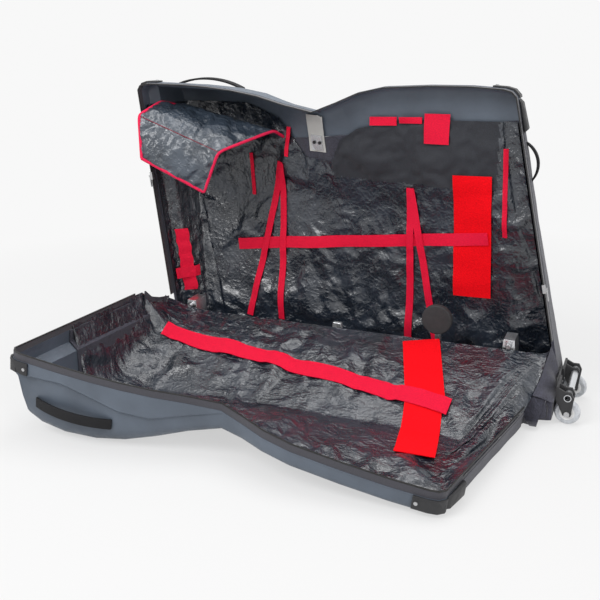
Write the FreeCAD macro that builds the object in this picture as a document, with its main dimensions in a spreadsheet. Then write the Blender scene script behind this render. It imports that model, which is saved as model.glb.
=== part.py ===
"""Bike travel case: a clamshell case standing open, lid folded down in front of the rear half.

Everything is drawn with the case shut: X runs along its length towards the wheels, Y from the lid
to the rear half with the zip at zero, Z up from the floor. The pieces of the lid are then swung
open about the hinge line, and the finished case is moved so that its origin is the middle of
the floor under it. Lengths are in millimetres.
"""
import FreeCAD, Part
import Sketcher
import math
import os

Vec = FreeCAD.Vector
doc = FreeCAD.newDocument("bike_travel_case")
sheet = doc.addObject("Spreadsheet::Sheet", "sizes")

SIZES = (
    # hinge line of the lid with its slope down and back towards the wheels, and the opening angle
    ("hinge_x", 1100), ("hinge_y", 45), ("hinge_z", 136), ("hinge_back_slope", 0.083),
    ("hinge_down_slope", 0.070), ("lid_open_angle", 92),
    # outline of the zip, seen from the side
    ("rim_length", 1130), ("top_height", 850), ("dip_depth", 72), ("corner_round", 20),
    ("base_start", 97), ("base_growth", 56), ("base_length", "=rim_length + base_growth"),
    ("belly_share", 0.588), ("belly_height", "=top_height * belly_share"),
    # depth of each half, and the moulded step round the rim of the hard shell
    ("bulge_depth", 205), ("edge_round", 45), ("step_height", 12),
    ("shell_wall", 4), ("textile_wall", 8), ("lining_wall", 2.5), ("webbing_wall", 2),
    ("layer_gap", 0.8), ("overrun", 60),
    # where hard shell, textile and lining end
    ("shell_drop_left", 230), ("shell_drop_right", 60), ("lining_edge", 6),
    ("tray_reach_share", 0.66), ("lid_edge_ease", 4), ("lid_edge_rise", 36),
    ("lid_edge_left", "=hinge_z + hinge_y + bulge_depth * tray_reach_share - lid_edge_ease"),
    ("lid_edge_right", "=lid_edge_left + lid_edge_rise"),
    # zip
    ("half_gap", 3), ("coil_width", 3), ("coil_wall", 3), ("tape_width", 18), ("tape_wall", 2.5),
    ("tape_inset", 1), ("zip_end_height", 185),
    ("slider_length", 24), ("slider_plate", 1.8), ("slider_width", 11), ("slider_room", 0.5),
    ("slider_left_drop", 284), ("slider_right_rise", 145),
    ("pull_length", 34), ("pull_width", 8), ("pull_wall", 2.5), ("pin_radius", 1.2),
    # base
    ("tray_bottom", 12), ("tray_top", 75), ("tray_wall", 6), ("sill_height", 147), ("sill_wall", 6),
    ("runner_length", 150), ("runner_width", 22), ("runner_inset", 60), ("runner_spread", 78),
    # wheels
    ("wheel_radius", 33), ("wheel_width", 24), ("wheel_track", 176), ("wheel_gap", 3),
    ("wheel_x", "=base_start + base_length + wheel_radius + wheel_gap"),
    ("tyre_wall", 14), ("hub_wall", 7), ("hub_recess", 3), ("bolt_radius", 4), ("running_fit", 0.05),
    ("cheek_gap", 1.5), ("cheek_wall", 6), ("bolt_head", 3), ("bolt_head_radius", 7),
    ("tube_radius", 9.5), ("tube_wall", 1.8), ("tube_lift", 45), ("tube_overhang", 3),
    ("plate_wall", 6), ("plate_height", 90), ("boss_wall", 6), ("web_gap", 5),
    # trim of the shell
    ("bumper_wall", 4.5), ("bumper_length", 62), ("bumper_drop", 24), ("bumper_start", 24),
    ("bumper_width", 34), ("screw_radius", 4.5), ("screw_height", 3),
    ("foot_length", 88), ("foot_width", 36), ("foot_wall", 10), ("foot_drop", 2), ("foot_start", 20),
    ("grab_length", 104), ("grab_reach", 26), ("grab_wall", 7), ("grab_width", 14), ("grab_drop", 138),
    ("grab_start", 40),
    ("handle_start", 84), ("handle_length", 217), ("handle_rise", 15), ("handle_wall", 6),
    ("handle_width", 28), ("handle_depth", 130),
    # webbing on the rear lining
    ("cross_width", 38), ("band_width", 108), ("strip_width", 13), ("tie_width", 22),
    ("daisy_width", 30), ("daisy_start", 26), ("daisy_gap", 44),
    # lid webbing
    ("lid_cross_width", 40), ("lid_band_width", 104), ("slack_wall", 3),
    # handlebar flap
    ("flap_wall", 16), ("binding_width", 7), ("binding_proud", 1.5), ("binding_gap", 1.2),
    # waist stiffener
    ("waist_width", 58), ("waist_length", 112), ("bracket_width", 40), ("bracket_length", 46),
    ("bracket_screw_radius", 5),
    # bicycle stand
    ("stand_y", 34), ("rail_inset_front", 43), ("rail_inset_rear", 103),
    ("rail_length", "=base_length - rail_inset_front - rail_inset_rear"),
    ("rail_width", 56), ("rail_height", 34), ("rail_slot", 14),
    ("axle_height", 160), ("axle_inset_front", 22), ("axle_inset_rear", 32),
    ("mount_width", 64), ("mount_length", 46), ("mount_rim", 9),
    ("fork_axle_length", 98), ("dropout_axle_length", 98), ("stand_axle_radius", 6),
    ("post_length", 52), ("post_wall", 14), ("post_height", 100),
    ("pad_height", 205), ("pad_radius", 43), ("pad_wall", 20), ("pad_post", 16),
)
for row_number, (alias, value) in enumerate(SIZES, 1):
    sheet.set("A%d" % row_number, alias)
    sheet.set("B%d" % row_number, str(value))
    sheet.setAlias("B%d" % row_number, alias)
doc.recompute()


def size(alias):
    """A driving dimension, read from the sheet."""
    return float(sheet.get(alias))


# Cross-sections of a half along its length. Each row has its place as a share of the rim length, then shares
# of the corner round, the dip, the bulge depth at the top and at the crease, the step and the edge round, and
# of the bulge depth at the belly, at the base of the rear half and at the base of the lid.
STATION_SHARES = (
    (0.000, 1.0, 0.00, 0.31, 0.13, 0.1, 0.30, 0.31, 0.31, 0.31),
    (0.009, 0.3, 0.00, 0.34, 0.13, 0.1, 0.35, 0.34, 0.34, 0.34),
    (0.026, 0.0, 0.00, 0.39, 0.18, 0.2, 0.40, 0.40, 0.39, 0.39),
    (0.034, 0.0, 0.00, 0.68, 0.27, 0.8, 0.50, 0.69, 0.50, 0.56),
    (0.046, 0.0, 0.00, 0.91, 0.29, 1.0, 0.80, 0.92, 0.59, 0.72),
    (0.078, 0.0, 0.01, 1.01, 0.27, 1.0, 1.00, 1.02, 0.63, 0.77),
    (0.140, 0.0, 0.03, 1.04, 0.24, 1.0, 1.00, 1.05, 0.66, 0.78),
    (0.210, 0.0, 0.10, 1.00, 0.31, 1.0, 1.00, 1.01, 0.66, 0.78),
    (0.280, 0.0, 0.22, 0.90, 0.40, 1.0, 0.95, 0.94, 0.66, 0.78),
    (0.350, 0.0, 0.42, 0.74, 0.40, 0.9, 0.85, 0.87, 0.66, 0.76),
    (0.420, 0.0, 0.74, 0.56, 0.28, 0.5, 0.70, 0.80, 0.66, 0.73),
    (0.495, 0.0, 1.00, 0.39, 0.15, 0.1, 0.45, 0.73, 0.65, 0.70),
    (0.560, 0.0, 0.62, 0.34, 0.13, 0.1, 0.40, 0.67, 0.65, 0.66),
    (0.620, 0.0, 0.24, 0.33, 0.13, 0.1, 0.40, 0.62, 0.64, 0.61),
    (0.690, 0.0, 0.00, 0.33, 0.13, 0.1, 0.40, 0.56, 0.64, 0.55),
    (0.800, 0.0, -0.08, 0.33, 0.13, 0.1, 0.40, 0.47, 0.63, 0.46),
    (0.900, 0.0, -0.08, 0.33, 0.13, 0.1, 0.40, 0.39, 0.62, 0.39),
    (0.974, 0.0, 0.00, 0.33, 0.13, 0.1, 0.40, 0.34, 0.60, 0.34),
    (0.991, 0.3, 0.00, 0.32, 0.13, 0.1, 0.35, 0.33, 0.58, 0.33),
    (1.000, 1.0, 0.00, 0.30, 0.13, 0.1, 0.30, 0.31, 0.56, 0.31),
)
REAR, LID = 1, -1
EDGE_STEPS = 4
BASE_COLUMN = {REAR: 8, LID: 9}


def station_x(share, z):
    """Where the station at a share of the length stands at height z: both ends of the case slant."""
    x_top = size("rim_length") * share
    x_base = size("base_start") + size("base_length") * share
    fall_share = (size("top_height") - z) / (size("top_height") - size("tray_top"))
    return x_top + (x_base - x_top) * fall_share


def half_section(row, side, inset, rim_y):
    """Closed outline of one cross-section of a half, drawn in by inset and run on below the base."""
    drop = size("overrun")
    share, corner, dip, top, crease, step, edge, belly = row[:8]
    lower = row[BASE_COLUMN[side]]
    bulge = size("bulge_depth")
    rise = size("step_height") * step
    edge_round = size("edge_round") * edge
    z_top = size("top_height") - size("corner_round") * corner - size("dip_depth") * dip - inset
    z_low = size("tray_top") - drop
    depth_top = bulge * top - inset
    arc_y, arc_z = depth_top - edge_round, z_top - rise - edge_round

    def at(y, z):
        x = station_x(share, z) + inset * (1 - 2 * share)
        return Vec(x, side * y, z)

    turns = [math.pi / 2 * step_number / EDGE_STEPS for step_number in range(EDGE_STEPS + 1)]
    rounded = [at(arc_y + edge_round * math.sin(turn), arc_z + edge_round * math.cos(turn)) for turn in turns]
    crease_in = at(bulge * crease, z_top)
    crease_out = at(bulge * crease + rise, z_top - rise)
    belly_out = at(bulge * belly - inset, size("belly_height"))
    slope_share = (lower - belly) * drop / (size("belly_height") - size("tray_top"))
    base_out = at(bulge * (lower + slope_share) - inset, z_low)
    return [at(rim_y, z_top), crease_in, crease_out] + rounded + [belly_out, base_out, at(rim_y, z_low)]


def solid_of(facets):
    """A closed solid sewn from flat facets."""
    shell = Part.Shell(facets)
    shell.sewShape()
    solid = Part.Solid(shell)
    if solid.Volume < 0:
        solid.reverse()
    return solid


def flat(*points):
    """One flat facet."""
    return Part.Face(Part.makePolygon(list(points) + [points[0]]))


half_store = {}


def half(side, inset, rim_y):
    """The space inside one half, drawn in by inset, from rim_y out to its outer face."""
    key = (side, inset, rim_y)
    if key not in half_store:
        rings = [half_section(row, side, inset, rim_y) for row in STATION_SHARES]
        facets = [flat(*rings[0]), flat(*rings[-1])]
        for ring, following in zip(rings, rings[1:]):
            for i in range(len(ring)):
                facets.append(flat(ring[i - 1], ring[i], following[i]))
                facets.append(flat(ring[i - 1], following[i], following[i - 1]))
        half_store[key] = solid_of(facets)
    return half_store[key]


def layer(side, outer_inset, inner_inset, rim_y):
    """A layer of one half between two insets, open at the rim and at the base."""
    above_base = box(LEFT, RIGHT, -FAR, FAR, size("tray_top"), ABOVE)
    return half(side, outer_inset, rim_y).cut(half(side, inner_inset, -size("overrun"))).common(above_base)


def patch(side, outer_inset, inner_inset, zone):
    """The part of such a layer that lies in a zone."""
    return zone.common(half(side, outer_inset, SKIN_Y)).cut(half(side, inner_inset, -size("overrun")))


def prism(points, y_from, y_to):
    """A block with the given outline in X and Z, from y_from to y_to."""
    corners = [Vec(x, y_from, z) for x, z in points]
    face = Part.Face(Part.makePolygon(corners + corners[:1]))
    return face.extrude(Vec(0, y_to - y_from, 0))


def box(x_from, x_to, y_from, y_to, z_from, z_to):
    """A block between two corners."""
    return Part.makeBox(x_to - x_from, y_to - y_from, z_to - z_from, Vec(x_from, y_from, z_from))


def bar(start, end, width):
    """Outline in X and Z of a straight strip of the given width between two points."""
    dx, dz = end[0] - start[0], end[1] - start[1]
    run = math.hypot(dx, dz)
    across = (-dz / run * width / 2, dx / run * width / 2)
    return [
        (start[0] + across[0], start[1] + across[1]), (end[0] + across[0], end[1] + across[1]),
        (end[0] - across[0], end[1] - across[1]), (start[0] - across[0], start[1] - across[1]),
    ]


def quilt(stations):
    """A closed sheet of flat facets between upper and lower rows of points, one pair of rows a station."""
    facets = []

    def quad(a, b, c, d):
        facets.append(flat(a, b, c))
        facets.append(flat(a, c, d))

    for (upper, lower), (next_upper, next_lower) in zip(stations, stations[1:]):
        for i in range(len(upper) - 1):
            quad(upper[i], upper[i + 1], next_upper[i + 1], next_upper[i])
            quad(lower[i], lower[i + 1], next_lower[i + 1], next_lower[i])
        for i in (0, -1):
            quad(upper[i], lower[i], next_lower[i], next_upper[i])
    for upper, lower in (stations[0], stations[-1]):
        for i in range(len(upper) - 1):
            quad(upper[i], upper[i + 1], lower[i + 1], lower[i])
    return solid_of(facets)


FAR = size("rim_length") * 2
LEFT, RIGHT = -size("overrun"), size("base_start") + size("base_length") + size("overrun")
ABOVE = size("top_height") + size("overrun")
SKIN_Y = size("half_gap") + size("coil_width") + size("tape_width")
LINING_OUT = size("textile_wall") + size("layer_gap")
LINING_IN = LINING_OUT + size("lining_wall")
WEB_OUT = LINING_IN + size("layer_gap")
WEB_IN = WEB_OUT + size("webbing_wall")
OVER_OUT = WEB_IN + size("layer_gap") / 2
OVER_IN = OVER_OUT + size("webbing_wall")

# Swing of the lid from shut to open
hinge_axis = Vec(1, size("hinge_back_slope"), -size("hinge_down_slope"))
hinge_axis.normalize()
hinge_point = Vec(size("hinge_x"), size("hinge_y"), size("hinge_z"))
lid_open = FreeCAD.Placement(Vec(0, 0, 0), FreeCAD.Rotation(hinge_axis, size("lid_open_angle")), hinge_point)

nodes = []


def add(label, shape, placement=None):
    """A piece whose shape is lofted or trimmed here."""
    obj = doc.addObject("Part::Feature", label)
    obj.Label = label
    obj.Shape = shape
    if placement:
        obj.Placement = placement
    nodes.append(obj)
    return obj


def keep(obj, label):
    """A piece made of bound document objects."""
    obj.Label = label
    nodes.append(obj)
    return obj


def bound(kind, name, placement, **expressions):
    """A primitive whose sizes are bound to the sheet."""
    obj = doc.addObject(kind, name)
    for prop, text in expressions.items():
        obj.setExpression(prop, text)
    obj.Placement = placement
    return obj


def cut_of(name, base, tool):
    """One primitive cut from another."""
    obj = doc.addObject("Part::Cut", name)
    obj.Base = base
    obj.Tool = tool
    return obj


def profile_body(name, role, loops):
    """A body with one closed sketch on an origin plane."""
    body = doc.addObject("PartDesign::Body", name)
    sketch = body.newObject("Sketcher::SketchObject", name + "_sketch")
    plane = [feature for feature in body.Origin.OriginFeatures if feature.Role == role][0]
    sketch.AttachmentSupport = [(plane, "")]
    sketch.MapMode = "FlatFace"
    for loop in loops:
        first = sketch.GeometryCount
        for start, end in zip(loop, loop[1:] + loop[:1]):
            sketch.addGeometry(Part.LineSegment(Vec(*start, 0), Vec(*end, 0)), False)
        for index in range(len(loop)):
            following = first + (index + 1) % len(loop)
            sketch.addConstraint(Sketcher.Constraint("Coincident", first + index, 2, following, 1))
    return body, sketch


def padded(name, role, loops, length, placement):
    """A body padded from one sketch, its length bound to the sheet."""
    body, sketch = profile_body(name, role, loops)
    pad = body.newObject("PartDesign::Pad", name + "_pad")
    pad.Profile = sketch
    pad.setExpression("Length", length)
    sketch.Visibility = False
    body.Placement = placement
    doc.recompute()
    return body


def turned(name, loop, placement):
    """A body turned about the upright axis of its sketch."""
    body, sketch = profile_body(name, "XZ_Plane", [loop])
    turn = body.newObject("PartDesign::Revolution", name + "_turn")
    turn.Profile = sketch
    turn.ReferenceAxis = (sketch, ["V_Axis"])
    turn.Angle = 360
    body.Placement = placement
    doc.recompute()
    return body


def along_y(x, y, z):
    """Placement that lays a piece drawn along Z on the Y direction."""
    return FreeCAD.Placement(Vec(x, y, z), FreeCAD.Rotation(Vec(1, 0, 0), -90))


def at(x, y, z):
    """Placement without a turn."""
    return FreeCAD.Placement(Vec(x, y, z), FreeCAD.Rotation())


# Hard shells and textile walls of the two halves
shell_line = [(LEFT, size("top_height") - size("shell_drop_left")),
              (RIGHT, size("top_height") - size("shell_drop_right"))]
above_shell_line = prism(shell_line + [(RIGHT, ABOVE), (LEFT, ABOVE)], -FAR, FAR)
lid_edge = [(LEFT, size("lid_edge_left")), (RIGHT, size("lid_edge_right"))]
above_lid_edge = prism(lid_edge + [(RIGHT, ABOVE), (LEFT, ABOVE)], -FAR, FAR)

rear_shell = layer(REAR, 0, size("shell_wall"), SKIN_Y).common(above_shell_line)
rear_wall = layer(REAR, 0, size("textile_wall"), SKIN_Y).cut(above_shell_line)
lid_shell = layer(LID, 0, size("shell_wall"), SKIN_Y).common(above_shell_line)
lid_wall = layer(LID, 0, size("textile_wall"), SKIN_Y).cut(above_shell_line).common(above_lid_edge)
add("rear_shell", rear_shell)
add("rear_wall", rear_wall)
add("lid_shell", lid_shell, lid_open)
add("lid_wall", lid_wall, lid_open)

# Zip tapes and coils, from one zip end up and round to the other
for side, prefix, placement in ((REAR, "rear", None), (LID, "lid", lid_open)):
    zip_low = size("zip_end_height") if side == REAR else size("lid_edge_right")
    coil_from = size("half_gap")
    tape_from = coil_from + size("coil_width")
    inset = size("tape_inset")
    tape_band = sorted((side * tape_from, side * SKIN_Y))
    coil_band = sorted((side * coil_from, side * tape_from))
    tape = layer(side, inset, inset + size("tape_wall"), tape_from)
    add(prefix + "_zip_tape", tape.common(box(LEFT, RIGHT, *tape_band, zip_low, ABOVE)), placement)
    coil = layer(side, inset, inset + size("coil_wall"), coil_from)
    add(prefix + "_zip_coil", coil.common(box(LEFT, RIGHT, *coil_band, zip_low, ABOVE)), placement)

def spot(x_share, z_share):
    """A place on the side of the case, as shares of its rim length and top height."""
    return (size("rim_length") * x_share, size("top_height") * z_share)


# Lining of the rear half: it stops below the hard shell, lowest at the waist
LINING_LEFT_SHARES = ((-0.05, 0.935), (0.27, 0.925), (0.38, 0.88))
LINING_WAIST_SHARES = (0.45, 0.53)
LINING_RIGHT_SHARES = ((0.57, 0.815), (0.63, 0.86), (0.78, 0.895), (1.15, 0.905))
WAIST_SHARES = (0.487, 0.895)
waist_x, waist_high = spot(*WAIST_SHARES)
waist_low = waist_high - size("waist_length")
waist_line = [(size("rim_length") * x, waist_low - size("lining_edge") * 3) for x in LINING_WAIST_SHARES]
lining_top = [spot(*share) for share in LINING_LEFT_SHARES] + waist_line
lining_top += [spot(*share) for share in LINING_RIGHT_SHARES]
lining_low = size("tray_top") + size("lining_edge")
lining_region = prism(lining_top + [(RIGHT, lining_low), (LEFT, lining_low)], SKIN_Y, FAR)
add("rear_lining", layer(REAR, LINING_OUT, LINING_IN, SKIN_Y).common(lining_region))


def on_rear_lining(outer, inner, outlines, y_from):
    """Webbing that lies on the rear lining inside the given outlines."""
    pieces = [patch(REAR, outer, inner, prism(outline, y_from, FAR)) for outline in outlines]
    return Part.makeCompound([solid for piece in pieces for solid in piece.Solids])


BACK_Y = SKIN_Y + size("edge_round")
CROSS_SHARES = ((0.225, 0.385), (0.945, 0.512))
BAND_SHARES = ((0.902, 0.722), (0.908, 0.300))
STRIP_SHARES = ((0.979, 0.815), (0.985, 0.520))
cross_left, cross_right = [spot(*share) for share in CROSS_SHARES]
band_top, band_low = [spot(*share) for share in BAND_SHARES]
strip_top, strip_low = [spot(*share) for share in STRIP_SHARES]
cross_outline = bar(cross_left, cross_right, size("cross_width"))
add("rear_cross_strap", on_rear_lining(OVER_OUT, OVER_IN, [cross_outline], SKIN_Y))
band_outline = bar(band_low, band_top, size("band_width"))
add("rear_loop_band", on_rear_lining(WEB_OUT, WEB_IN, [band_outline], SKIN_Y))
strip_outline = bar(strip_low, strip_top, size("strip_width"))
add("rear_edge_strip", on_rear_lining(WEB_OUT, WEB_IN, [strip_outline], SKIN_Y))

TIE_FRONT_SHARES = ((0.270, 0.120), (0.362, 0.720), (0.372, 0.120))
TIE_REAR_SHARES = ((0.742, 0.120), (0.742, 0.665), (0.815, 0.120))
for label, shares in (("tie_down_front", TIE_FRONT_SHARES), ("tie_down_rear", TIE_REAR_SHARES)):
    foot_one, crown, foot_two = [spot(*share) for share in shares]
    legs = [bar(foot_one, crown, size("tie_width")), bar(foot_two, crown, size("tie_width"))]
    zone = prism(legs[0], SKIN_Y, FAR).fuse(prism(legs[1], SKIN_Y, FAR)).removeSplitter()
    add(label, patch(REAR, WEB_OUT, WEB_IN, zone))

SADDLE_SHARES = (((0.780, 0.815), (0.845, 0.815), (0.845, 0.915), (0.780, 0.915)),
                 ((0.640, 0.868), (0.712, 0.872), (0.712, 0.900), (0.640, 0.896)),
                 ((0.718, 0.878), (0.776, 0.878), (0.776, 0.900), (0.718, 0.900)))
saddle_outlines = [[spot(*share) for share in outline] for outline in SADDLE_SHARES]
add("saddle_strap", on_rear_lining(WEB_OUT, WEB_IN, saddle_outlines, SKIN_Y))

# Row of webbing loops on the handlebar end wall, with the strap threaded through it
daisy_from = SKIN_Y + size("daisy_start")
daisy_low, daisy_high = size("zip_end_height"), size("lid_edge_left") + size("cross_width") * 2
end_zone = size("base_start") + size("overrun") / 2
daisy_zone = box(LEFT, end_zone, daisy_from, daisy_from + size("daisy_width"), daisy_low, daisy_high)
add("daisy_chain", patch(REAR, WEB_OUT, WEB_IN, daisy_zone))
strap_low = daisy_low + size("daisy_gap")
strap_zone = box(LEFT, end_zone, SKIN_Y, BACK_Y, strap_low, strap_low + size("cross_width"))
add("daisy_strap", patch(REAR, OVER_OUT, OVER_IN, strap_zone))


def rim_top(x):
    """Height of the top of a half, at its rim, at a place along it."""
    place_share = x / size("rim_length")
    for row, following in zip(STATION_SHARES, STATION_SHARES[1:]):
        if row[0] <= place_share <= following[0]:
            part_share = (place_share - row[0]) / (following[0] - row[0])
            return size("top_height") - size("dip_depth") * (row[2] + (following[2] - row[2]) * part_share)
    return size("top_height")



def arched_strap(arc, following, width):
    """A strap of the given width between two arcs."""
    first = Part.makeLine(arc.StartPoint, following.StartPoint)
    last = Part.makeLine(arc.EndPoint, following.EndPoint)
    outline = Part.Wire(Part.__sortEdges__([arc.toShape(), last, following.toShape(), first]))
    return Part.Face(outline).extrude(Vec(0, width, 0))


# Corner bumpers, their screws and the block on the wheel end, alike on both halves
for side, prefix, placement in ((REAR, "rear", None), (LID, "lid", lid_open)):
    y_band = sorted((side * size("bumper_start"), side * (size("bumper_start") + size("bumper_width"))))
    low = size("top_height") - size("bumper_drop")
    x_right = size("rim_length") - size("bumper_length")
    guard = (-size("bumper_wall"), -size("layer_gap"))
    corner_left = patch(side, *guard, box(LEFT, size("bumper_length"), *y_band, low, ABOVE))
    corner_right = patch(side, *guard, box(x_right, RIGHT, *y_band, low, ABOVE))
    add(prefix + "_corner_bumpers", Part.makeCompound(corner_left.Solids + corner_right.Solids), placement)

    screw_y = side * (size("bumper_start") + size("bumper_width") / 2)
    head = (-size("bumper_wall") - size("screw_height"), -size("bumper_wall"))
    screws = []
    for x in (size("bumper_length") - size("screw_radius") * 2, x_right + size("screw_radius") * 2):
        shank = Part.makeCylinder(size("screw_radius"), size("overrun") * 2, Vec(x, screw_y, low))
        screws += patch(side, *head, shank).Solids
    add(prefix + "_bumper_screws", Part.makeCompound(screws), placement)

    foot_high = low - size("foot_drop")
    foot_low = foot_high - size("foot_length")
    taper = size("foot_wall")
    wall_high = station_x(1, foot_high) + size("layer_gap")
    wall_low = station_x(1, foot_low) + size("layer_gap")
    outline = [(wall_high, foot_high), (wall_high + taper, foot_high - taper),
               (wall_low + taper, foot_low + taper), (wall_low, foot_low)]
    foot_band = sorted((side * size("foot_start"), side * (size("foot_start") + size("foot_width"))))
    add(prefix + "_end_foot", prism(outline, *foot_band), placement)

    handle_from = size("handle_start")
    handle_to = handle_from + size("handle_length")
    handle_mid = (handle_from + handle_to) / 2
    seat_left = rim_top(handle_from) - size("step_height") + size("layer_gap") / 2
    seat_right = rim_top(handle_to) - size("step_height") + size("layer_gap") / 2
    crown = size("top_height") + size("handle_rise") - size("step_height")
    y_low = side * size("handle_depth") - size("handle_width") / 2
    arch = []
    for rise in (0, size("handle_wall")):
        arch.append(Part.Arc(Vec(handle_from, y_low, seat_left + rise), Vec(handle_mid, y_low, crown + rise),
                             Vec(handle_to, y_low, seat_right + rise)))
    add(prefix + "_carry_handle", arched_strap(*arch, size("handle_width")), placement)

# Thin grab loop on the wheel end of the rear half
loop_high = size("top_height") - size("grab_drop")
loop_low = loop_high - size("grab_length")
loop_mid = (loop_high + loop_low) / 2
arcs = []
for reach, trim in ((size("grab_reach"), 0), (size("grab_reach") - size("grab_wall"), size("grab_wall"))):
    ends = []
    for z in (loop_high - trim, loop_low + trim):
        ends.append(Vec(station_x(1, z) + size("layer_gap"), size("grab_start"), z))
    middle = Vec(station_x(1, loop_mid) + reach, size("grab_start"), loop_mid)
    arcs.append(Part.Arc(ends[0], middle, ends[1]))
add("rear_end_loop", arched_strap(*arcs, size("grab_width")))

# Pale stiffener at the waist of the rear shell, with its bracket and screws
PLATE_OUT = size("textile_wall") + size("layer_gap")
PLATE_IN = PLATE_OUT + size("webbing_wall")
BRACKET_OUT = PLATE_IN
BRACKET_IN = BRACKET_OUT + size("webbing_wall")
waist_edge = (waist_x - size("waist_width") / 2, waist_x + size("waist_width") / 2)
waist_zone = box(*waist_edge, BACK_Y, FAR, waist_low, waist_high)
add("waist_plate", patch(REAR, PLATE_OUT, PLATE_IN, waist_zone))
bracket_edge = (waist_x - size("bracket_width") / 2, waist_x + size("bracket_width") / 2)
bracket_low = waist_low + size("bracket_screw_radius")
bracket_zone = box(*bracket_edge, BACK_Y, FAR, bracket_low, bracket_low + size("bracket_length"))
add("waist_bracket", patch(REAR, BRACKET_OUT, BRACKET_IN, bracket_zone))
SCREW_IN = BRACKET_IN + size("screw_height")
screw_heads = []
SCREW_SHARES = (0.25, 0.75)
for x_share in SCREW_SHARES:
    x = bracket_edge[0] + size("bracket_width") * x_share
    z = bracket_low + size("bracket_length") / 2
    shank = Part.makeCylinder(size("bracket_screw_radius"), FAR, Vec(x, BACK_Y, z), Vec(0, 1, 0))
    screw_heads += patch(REAR, BRACKET_IN, SCREW_IN, shank).Solids
add("waist_screws", Part.makeCompound(screw_heads))

# Base tray under the whole case, its front sill and its glides
tray_points = [(station_x(row[0], size("tray_top")), size("bulge_depth") * row[8]) for row in STATION_SHARES]


def tray_block(inset, z_from, z_to):
    """The plan of the tray, drawn in by inset, between two heights."""
    inner = []
    for (x, depth), row in zip(tray_points, STATION_SHARES):
        inner.append((x + inset * (1 - 2 * row[0]), depth - inset))
    ring = [Vec(x, depth, z_from) for x, depth in inner]
    ring += [Vec(x, -depth, z_from) for x, depth in reversed(inner)]
    return Part.Face(Part.makePolygon(ring + ring[:1])).extrude(Vec(0, 0, z_to - z_from))


tray_floor = size("tray_bottom") + size("tray_wall")
tray = tray_block(0, size("tray_bottom"), size("tray_top"))
add("base_tray", tray.cut(tray_block(size("tray_wall"), tray_floor, size("tray_top") + size("overrun"))))

SILL_SHARES = (0.034, 0.140, 0.350, 0.620, 0.900)
sill_wires = []
for row in STATION_SHARES:
    if row[0] in SILL_SHARES:
        x = station_x(row[0], size("tray_top"))
        depth = size("bulge_depth") * row[8]
        outer = Vec(x, -depth, size("tray_top"))
        inner = Vec(x, -depth + size("sill_wall"), size("tray_top"))
        ridge_out = Vec(x, -size("sill_wall") - size("half_gap"), size("sill_height"))
        ridge_in = Vec(x, -size("half_gap"), size("sill_height") - size("sill_wall"))
        sill_wires.append(Part.makePolygon([outer, ridge_out, ridge_in, inner, outer]))
add("base_sill", Part.makeLoft(sill_wires, True, True))

runners = []
for y_side in (-1, 1):
    x = size("base_start") + size("runner_inset")
    y = y_side * size("runner_spread") - size("runner_width") / 2
    block = Part.makeBox(size("runner_length"), size("runner_width"), size("tray_bottom"), Vec(x, y, 0))
    low_edges = [edge for edge in block.Edges if edge.BoundBox.ZMax < size("layer_gap")]
    nose = [edge for edge in low_edges if edge.BoundBox.XLength < size("layer_gap")]
    runners.append(block.makeChamfer(size("tray_bottom") / 2, nose))
add("base_runners", Part.makeCompound(runners))

# Bicycle stand on the tray floor
rail_half = size("rail_width") / 2
slot_half = size("rail_slot") / 2
rail_high = size("rail_height")
lip = rail_high / 4
rail_loop = [(-rail_half, 0), (rail_half, 0), (rail_half, rail_high), (slot_half, rail_high),
             (slot_half, rail_high - lip), (slot_half + lip, rail_high - lip), (slot_half + lip, lip),
             (-slot_half - lip, lip), (-slot_half - lip, rail_high - lip), (-slot_half, rail_high - lip),
             (-slot_half, rail_high), (-rail_half, rail_high)]
rail_start = size("base_start") + size("rail_inset_front")
rail_end = rail_start + size("rail_length")
rail_place = at(rail_start, size("stand_y"), tray_floor)
keep(padded("stand_rail", "YZ_Plane", [rail_loop], "sizes.rail_length", rail_place), "stand_rail")

rail_top = tray_floor + rail_high
mount_base = size("mount_length") / 2
mount_crown = size("stand_axle_radius") + size("mount_rim")
axles = []
fork_x = rail_start + size("axle_inset_front")
dropout_x = rail_end - size("axle_inset_rear")
for label, x, axle_size in (("fork_mount", fork_x, "fork_axle_length"),
                            ("dropout_mount", dropout_x, "dropout_axle_length")):
    rise = size("axle_height") - rail_top
    crown_z = rise + mount_crown
    loop = [(-mount_base, 0), (mount_base, 0), (mount_crown, crown_z), (-mount_crown, crown_z)]
    place = at(x, size("stand_y") + size("mount_width") / 2, rail_top)
    body = padded(label + "_block", "XZ_Plane", [loop], "sizes.mount_width", place)
    bore_place = along_y(x, size("stand_y") - size("overrun"), size("axle_height"))
    bore = bound("Part::Cylinder", label + "_bore", bore_place, Radius="sizes.stand_axle_radius",
                 Height="2 * sizes.overrun")
    keep(cut_of(label, body, bore), label)
    axle_start = Vec(x, size("stand_y") - size(axle_size) / 2, size("axle_height"))
    axles.append(Part.makeCylinder(size("stand_axle_radius"), size(axle_size), axle_start, Vec(0, 1, 0)))
add("stand_axles", Part.makeCompound(axles))

POST_SHARE, PAD_SHARE = 0.481, 0.774
post_x = rail_start + size("rail_length") * POST_SHARE
pad_x = rail_start + size("rail_length") * PAD_SHARE
post_half = size("post_length") / 2
post_high = size("post_height")
post_loop = [(-post_half, 0), (post_half, 0), (post_half / 2, post_high), (-post_half / 2, post_high)]
post_place = at(post_x, size("stand_y") + size("post_wall") / 2, rail_top)
keep(padded("stand_post", "XZ_Plane", [post_loop], "sizes.post_wall", post_place), "stand_post")

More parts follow.
